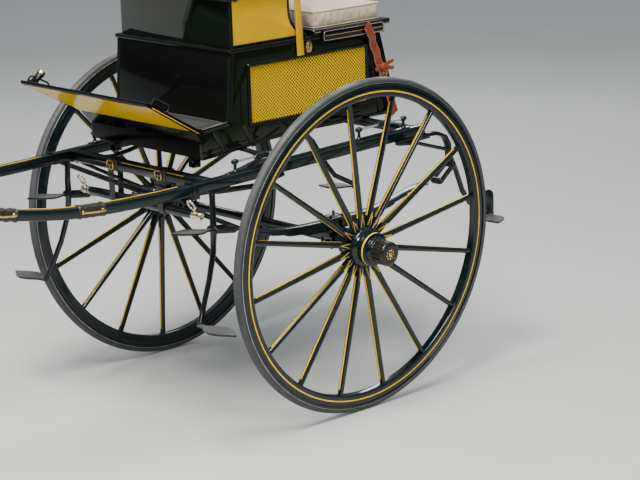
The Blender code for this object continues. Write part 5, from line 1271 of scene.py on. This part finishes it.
settle("toe_board_lip", bm, [black_paint], "body")


# Mat

# A woven grey-brown mat lies on the foot floor and runs up the toe board, with a darker border
# and a pale edging. A nickelled half-round edges the floor at each side of it.
MAT_WIDTH = 2 * (HALF - WALL - 0.008)
MAT_THICKNESS = 0.0045
BORDER_END = 0.428

mat_cloth, tree, shader = finish_of("mat_cloth")
parts = add(tree, "SeparateXYZ", Vector=spot_of(tree, "UV")).outputs
ribs = math_of(tree, "SINE", product(tree, parts["X"], 1400.0))
cords = math_of(tree, "SINE", product(tree, parts["Y"], 1500.0))
weave = scaled(tree, product(tree, ribs, cords), 0.5, 0.5)
edge_x = math_of(tree, "SUBTRACT", MAT_WIDTH / 2, math_of(tree, "ABSOLUTE", parts["X"]))
edge_y = math_of(tree, "MINIMUM", parts["Y"], math_of(tree, "SUBTRACT", BORDER_END, parts["Y"]))
inset = math_of(tree, "MINIMUM", edge_x, edge_y)
border = math_of(tree, "LESS_THAN", inset, 0.042)
edging = math_of(tree, "LESS_THAN", inset, 0.004)
wear = noise_of(tree, 30.0, 4.0)
field = blend_of(tree, wear, (0.016, 0.0135, 0.0125), (0.028, 0.024, 0.022))
field = blend_of(tree, product(tree, weave, 0.35), field, (0.014, 0.012, 0.012))
field = blend_of(tree, border, field, (0.0070, 0.0070, 0.0075))
field = blend_of(tree, edging, field, (0.055, 0.054, 0.050))
feed(shader, Base_Color=field, Roughness=scaled(tree, wear, 0.1, 0.82), Normal=relief_of(tree, 0.6, 0.0012, weave))

floor_rear, floor_z = PANEL_FOOT - 0.006, FOOT_FLOOR_TOP + 0.0008
turn_y, turn_z = on_toe(0.055, 0.0012)
mat_line = [(floor_rear, floor_z), (FOOT_FRONT + 0.045, floor_z - 0.0055), (FOOT_FRONT + 0.020, floor_z - 0.006)]
mat_line += [(turn_y, turn_z)] + [tuple(on_toe(share, 0.0012)) for share in (0.12, 0.45, 0.855)]
mat_steps = smooth_line(mat_line, 8)
bm = bmesh.new()
uv = bm.loops.layers.uv.new("UVMap")
lengths = [0.0]
for (y0, z0), (y1, z1) in zip(mat_steps, mat_steps[1:]):
    lengths.append(lengths[-1] + math.hypot(y1 - y0, z1 - z0))
columns = 60
rows = []
for i, (y, z) in enumerate(mat_steps):
    row = []
    for j in range(columns + 1):
        x = MAT_WIDTH * (j / columns - 0.5)
        curl = 0.0008 * math.sin(9 * x + 14 * lengths[i]) + 0.0008
        row.append(bm.verts.new((x, behind(y), z + curl + MAT_THICKNESS)))
    rows.append(row)
for i, (row, above) in enumerate(zip(rows, rows[1:])):
    for j in range(columns):
        face = bm.faces.new((row[j], above[j], above[j + 1], row[j + 1]))
        for loop, (a, b) in zip(face.loops, ((j, i), (j, i + 1), (j + 1, i + 1), (j + 1, i))):
            loop[uv].uv = (MAT_WIDTH * (a / columns - 0.5), lengths[b])
bmesh.ops.recalc_face_normals(bm, faces=bm.faces)
if sum(f.normal.z for f in bm.faces) < 0:
    bmesh.ops.reverse_faces(bm, faces=bm.faces)
bmesh.ops.solidify(bm, geom=bm.faces, thickness=MAT_THICKNESS)
edging = bmesh.new()
for side, sign in SIDES:
    x = sign * (HALF - WALL / 2)
    line = upright_line(x, [(FOOT_FRONT + 0.010, floor_z - 0.0040), (PANEL_FOOT - 0.004, floor_z + 0.0070)])
    half_round(edging, line, 0.006, 0.0026, (0, 0, 1))
settle("floor_edging", edging, [nickel], "body")
mat_piece = settle("mat", bm, [mat_cloth], "body", ("foot_mat",), 50)


# Whip socket

# A short japanned tube with a brass rim stands on the toe board at the driver's right hand.
bm = dressed("whip_socket", 0.0006, 50)
y, z = on_toe(0.90, 0.0105)
socket_root = Vector((-0.400, behind(y), z))
axis = Matrix.Rotation(-math.radians(52), 4, "X") @ Vector((0, 0, 1))
mark(bm, 1, lambda c, f: (c - socket_root).dot(axis) > 0.0470)
settle("whip_socket_tube", bm, [black_paint, gilt], "body", ("whip_socket",), 40)


# Tailboard

# The rear board hinges on its lower edge and drops to carry the feet of those on the rear seat.
settle(
    "tail_board", dressed("tailboard", 0.0015, 50), [panel_paint], "tailboard",
    ("tailboard",), 40,
)


# Tailboard straps

# Soft tan leather straps, stitched along both edges, run from the rear seat to the tailboard's
# foot at each side. A tie is knotted round each, its two ends stand out, and a buckle sits below.
def strap_along(bm, line, width, wall, side, tapers=0.0):
    """A flat strap along a line, its flat side facing side; the ends may narrow to a point."""
    sizes = []
    for i in range(len(line)):
        share = i / (len(line) - 1)
        near = min((1 - share) / tapers, 1.0) if tapers else 1.0
        sizes.append((1.0, 0.35 + 0.65 * near ** 0.5))
    bar_along(bm, line, block_section(wall, width, wall * 0.3), side, sizes)


thread = mottled("linen_thread", 900.0, 1.0, (0.50, 0.42, 0.28), (0.72, 0.64, 0.48), (0.1, 0.75))

BUCKLE_STEP = 25
STRAP_LINE = [
    (0.318, 1.600), (0.334, 1.578), (0.359, 1.531), (0.384, 1.477), (0.403, 1.424), (0.423, 1.375), (0.477, 1.229),
    (0.491, 1.190),
]
TIE_LINES = [
    [(0.374, 1.398), (0.396, 1.403), (0.420, 1.409), (0.450, 1.419), (0.482, 1.431)],
    [(0.380, 1.412), (0.404, 1.411), (0.430, 1.406), (0.456, 1.399), (0.481, 1.394)],
]
for side, sign in SIDES:
    x = HALF + 0.012 + 0.0003 + 0.0035
    line = [
        (
            sign * (x - 0.001 + 0.0016 * math.sin(i * 0.6) + 0.0155 * min(max((z - 1.515) / 0.035, 0.0), 1.0)),
            behind(y + 0.0018 * math.sin(i * 0.9)), z,
        )
        for i, (y, z) in enumerate(smooth_line(STRAP_LINE, 5))
    ]
    bm = bmesh.new()
    strap_along(bm, line, 0.042, 0.0046, (sign, 0, 0))
    for turn, tie_line in enumerate(TIE_LINES):
        tie = [
            (sign * (x + 0.0070 + 0.0030 * turn + 0.0035 * math.sin(1.1 * i + turn)), behind(y), z)
            for i, (y, z) in enumerate(smooth_line(tie_line, 5))
        ]
        strap_along(bm, tie, 0.017, 0.0062, (sign, 0, 0), 0.08)
    knot = Matrix.Translation((sign * (x + 0.0100), behind(0.417), 1.4080)) @ Matrix.Rotation(-sign * 0.35, 4, "X")
    lump(bm, knot, (0.0100, 0.0125, 0.0160), 24, 14)
    settle(
        f"tailboard_strap_{side}_leather", bm, [tan_leather], "body",
        (f"tailboard_strap_{side}",), 45,
    )
    bm = bmesh.new()
    places = sections(line, (sign, 0, 0))
    for before, after, a, b in zip(line, line[1:], places, places[1:]):
        count = max(int((Vector(after) - Vector(before)).length / 0.0045), 1)
        for i in range(count):
            for edge in (-0.0180, 0.0180):
                first = a.lerp(b, (i + 0.15) / count) @ Vector((0.0027, edge, 0))
                last = a.lerp(b, (i + 0.80) / count) @ Vector((0.0027, edge, 0))
                bmesh.ops.create_cone(
                    bm, cap_ends=True, segments=5, radius1=0.0005, radius2=0.0005, depth=(last - first).length,
                    matrix=Matrix.Translation((first + last) / 2)
                    @ Vector((0, 0, 1)).rotation_difference(last - first).to_matrix().to_4x4(),
                )
    settle(f"strap_stitches_{side}", bm, [thread], "body")
    bm = bmesh.new()
    spot = places[BUCKLE_STEP]
    buckle(bm, 0.046, 0.026, 0.0018, spot @ Matrix.Translation((0.0040, 0, 0)) @ ON_EDGE)
    settle(f"strap_buckle_{side}", bm, [gilt], "body")


# Bearers

# Forged straps under the body carry four bored sleeves on bent arms; the sleeves ride the rods.
for side, sign in SIDES:
    settle(
        f"bearer_{side}", dressed(f"slide_bearer_{side}", 0.0010, 60), [gear_paint], "body",
        (f"slide_bearer_{side}",), 40,
    )
    bm = bmesh.new()
    for y in SLEEVES:
        for reach in (-0.0315, 0.0245):
            collar = [(0.0141, 0), (0.0150, 0.001), (0.0150, 0.006), (0.0141, 0.007)]
            turned_between(bm, rod_point(sign, y + reach), rod_point(sign, y + reach + 0.007), collar, 32)
    settle(f"sleeve_rings_{side}", bm, [iron_paint], "body")


# Driver's seat

# A raised seat box on the rim: black front, yellow sides edged in black with a scooped rear,
# and a seat board with a rounded nose. It stands open behind, over the body.
SEAT_BASE_Z, SEAT_TOP_Z = RIM_Z + 0.018 + 0.0006, 1.790
SEAT_SIDE_X = 0.368
seat_green = painted("seat_green", (0.0035, 0.0090, 0.0045), rough=0.05, dust=0.04, peel=0.03)
seat_yellow = painted("seat_yellow", (0.66, 0.385, 0.0005), rough=0.16, dust=0.0, peel=0.03, shine=0.08)
bm = dressed("driver_seat_box", 0.0016, 50)
mark(bm, 1, lambda c, f: abs(f.normal.x) > 0.9 and abs(c.x) > SEAT_SIDE_X - 0.002 and c.z < SEAT_TOP_Z - 0.003)
mark(bm, 2, lambda c, f: c.z > SEAT_TOP_Z - 0.0025)
settle(
    "seat_box", bm, [seat_green, seat_yellow, black_paint], "body", ("driver_seat_box",), 40,
)
for side, sign in SIDES:
    edge = [(-0.4045, SEAT_TOP_Z - 0.006), (-0.4045, SEAT_BASE_Z + 0.0050), (0.003, SEAT_BASE_Z + 0.0050)]
    scoop = [(0.004, 0.005), (-0.045, 0.032), (-0.079, 0.070), (-0.091, 0.120)]
    curve = smooth_line([(y, SEAT_BASE_Z + z) for y, z in scoop] + [(-0.091, SEAT_TOP_Z - 0.004)], 5)
    bm = bmesh.new()
    for line in (edge[:2], edge[1:], curve):
        half_round(bm, upright_line(sign * SEAT_SIDE_X, line), 0.012, 0.0045, (sign, 0, 0))
    settle(f"seat_edging_{side}", bm, [black_paint], "body")


# Seat arms

# A flat iron post, painted yellow, rises from each side of the body; a round iron arm runs from
# the seat board over it to the back rest.
POST_X = HALF + 0.009 + 0.0003 + 0.004
for side, sign in SIDES:
    bm = dressed(f"seat_arm_{side}", 0.0010, 65)
    for vert in bm.verts:
        vert.co.z += 0.010 if vert.co.z < 1.515 else 0.0
    mark(bm, 1, lambda c, f: abs(abs(c.x) - POST_X) > 0.0046 or c.y < behind(-0.098) or c.z > 1.980)
    settle(
        f"arm_{side}", bm, [seat_yellow, iron_paint], "body", (f"seat_arm_{side}",), 40,
    )


# Cushions and back rest

# Box cushions of fawn cloth stuffed with horsehair, a piped seam round the top and the bottom
# edge; the back rest is a padded roll in black leather. Each is blown up as cloth from its cut
# shape, so that the sides draw in between the corners.
cloth_finish, tree, shader = finish_of("fawn_cloth")
parts = add(tree, "SeparateXYZ", Vector=spot_of(tree)).outputs
warp = math_of(tree, "SINE", product(tree, parts["X"], 3600.0))
weft = math_of(tree, "SINE", product(tree, math_of(tree, "ADD", parts["Y"], parts["Z"]), 3600.0))
weave = scaled(tree, product(tree, warp, weft), 0.5, 0.5)
nap = noise_of(tree, 34.0, 5.0)
cloth_colour = blend_of(tree, nap, (0.43, 0.34, 0.235), (0.58, 0.48, 0.35))
feed(
    shader, Base_Color=blend_of(tree, product(tree, weave, 0.25), cloth_colour, (0.33, 0.25, 0.165)),
    Roughness=scaled(tree, nap, 0.1, 0.80), Normal=relief_of(tree, 0.35, 0.0006, weave),
    Sheen_Weight=0.25, Sheen_Roughness=0.5,
)


def cut_point(u, v, w, low, size, height, crown, slope):
    """Where a point of the cushion's box, each of u, v and w in -1..1, lies in the cut shape."""
    inward, deep = 1 - 0.018 * (1 - v * v) * abs(u) ** 3, 1 - 0.018 * (1 - u * u) * abs(v) ** 3
    soft = 1 - 0.030 * abs(u * v) ** 3
    lift = crown * (1 - u ** 4) * (1 - v ** 4) + slope * (v + 1) / 2
    return Vector((
        low.x + size.x / 2 + u * (size.x / 2 - SEAM_IN) * inward * soft,
        low.y + size.y / 2 + v * (size.y / 2 - SEAM_IN) * deep * soft,
        low.z + 0.003 + (height - 0.006) * (w + 1) / 2 + lift * (w + 1) / 2,
    ))


def blown_up(bm, seams, name, cell):
    """The cut shape filled as cloth: its seams are held while pressure swells the panels."""
    mesh = bpy.data.meshes.new(name)
    bm.to_mesh(mesh)
    shape = bpy.data.objects.new(name, mesh)
    bpy.context.scene.collection.objects.link(shape)
    remesh = shape.modifiers.new("Remesh", "REMESH")
    remesh.mode, remesh.voxel_size = "VOXEL", cell
    shape.data = bpy.data.meshes.new_from_object(shape.evaluated_get(bpy.context.evaluated_depsgraph_get()))
    shape.modifiers.clear()
    tree = KDTree(len(seams))
    for i, spot in enumerate(seams):
        tree.insert(spot, i)
    tree.balance()
    start = [v.co.copy() for v in shape.data.vertices]
    held = shape.vertex_groups.new(name="seam")
    held.add([i for i, spot in enumerate(start) if tree.find(spot)[2] < cell * 1.3], 1.0, "REPLACE")
    cloth = shape.modifiers.new("Cloth", "CLOTH")
    cloth.settings.quality = 5
    cloth.settings.use_pressure = True
    cloth.settings.uniform_pressure_force = 4.0
    cloth.settings.effector_weights.gravity = 0.0
    cloth.settings.vertex_group_mass = "seam"
    cloth.settings.shrink_min = -0.025
    cloth.settings.bending_stiffness = 0.6
    cloth.point_cache.frame_end = CLOTH_FRAMES
    for moment in range(1, CLOTH_FRAMES + 1):
        bpy.context.scene.frame_set(moment)
    swelled = bpy.data.meshes.new_from_object(shape.evaluated_get(bpy.context.evaluated_depsgraph_get()))
    for vert, before in zip(swelled.vertices, start):
        move = vert.co - before
        vert.co = before + move * min(1.0, SWELL / max(move.length, 1e-9))
    bm.clear()
    bm.from_mesh(swelled)
    bpy.data.objects.remove(shape)
    bpy.context.scene.frame_set(1)
    return bm


# node, height at the seams, crown, rise to the rear, cell, finish, slot, how full
SEAM_IN, SWELL, PIPING, CLOTH_FRAMES = 0.009, 0.008, 0.0024, 20
steps = [-1 + i / 14 for i in range(28)]
ROUND = [(t, -1) for t in steps] + [(1, t) for t in steps] + [(-t, 1) for t in steps] + [(-1, -t) for t in steps]
for node, height, crown, slope, cell, finish, slot, fill in (
    ("driver_cushion", 0.085, 0.018, 0.030, 0.006, cloth_finish, "cushion_cloth", 0.8),
    ("rear_cushion", 0.072, 0.016, 0.0, 0.006, cloth_finish, "cushion_cloth", 0.8),
    ("seat_rest", 0.100, 0.0, 0.0, 0.005, black_leather, "dark_leather", 0.9),
):
    low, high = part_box(node)
    cut = (low, high - low, height, crown, slope)
    seams = [[cut_point(u, v, w, *cut) for u, v in ROUND] for w in (-1, 1)]
    bm = bmesh.new()
    bmesh.ops.create_cube(bm, size=2)
    bmesh.ops.subdivide_edges(bm, edges=bm.edges, cuts=27, use_grid_fill=True)
    for vert in bm.verts:
        vert.co = cut_point(*vert.co, *cut)
    corners = [cut_point(u, v, w / 6, *cut) for u in (-1, 1) for v in (-1, 1) for w in range(-6, 7)]
    bm = blown_up(bm, seams[0] + seams[1] + corners, f"{node}_cut", cell)
    for face in bm.faces:
        face.smooth = True
    piece = settle(f"{node}_cover", bm, [finish], "body", (node,), 80)
    bm = bmesh.new()
    for seam in seams:
        bar_along(bm, seam + seam[:1], disc(8, PIPING), (0, 0, 1), capped=False)
    joined(bm, 0.0003)
    settle(f"{node}_piping", bm, [finish], "body", (), 60)


# Rear seat

# The rear seat's board with a black box over each of the body's sides: a brass line runs along
# its middle within a polished bead, and a short bead edges the board before it. The beads are
# real; their bright nickel stands in for highlights along the box's edges, as painted highlights.
END_Z = 1.5835
settle(
    "rear_seat_boards", dressed("rear_seat_frame", 0.0020, 50), [black_paint], "body",
    ("rear_seat_frame",), 40,
)
beads, brass_line, ends = bmesh.new(), bmesh.new(), bmesh.new()
for side, sign in SIDES:
    x = sign * (HALF + 0.0213)
    block(ends, (sign * (HALF + 0.0152), behind(0.253), END_Z), (0.0120, 0.362, 0.0490))
    outline = rounded_path([(0.078, 1.5640), (0.428, 1.5640), (0.428, 1.6030), (0.078, 1.6030)], 0.0100)
    half_round(beads, upright_line(x, outline), 0.0030, 0.0014, (sign, 0, 0), closed=True)
    half_round(brass_line, upright_line(x, [(0.086, END_Z), (0.420, END_Z)]), 0.0036, 0.0016, (sign, 0, 0))
    edge = upright_line(sign * (HALF + 0.012), [(0.036, 1.6025), (0.068, 1.6025)])
    half_round(beads, edge, 0.0044, 0.0018, (sign, 0, 0))
softened(ends, ends.edges[:], 0.003)
settle("rear_seat_ends", ends, [black_paint], "body")
# The nickel beads are bright as painted highlights along the box's edges.
settle("rear_seat_beads", beads, [nickel], "body")
settle("rear_seat_line", brass_line, [gilt], "body")
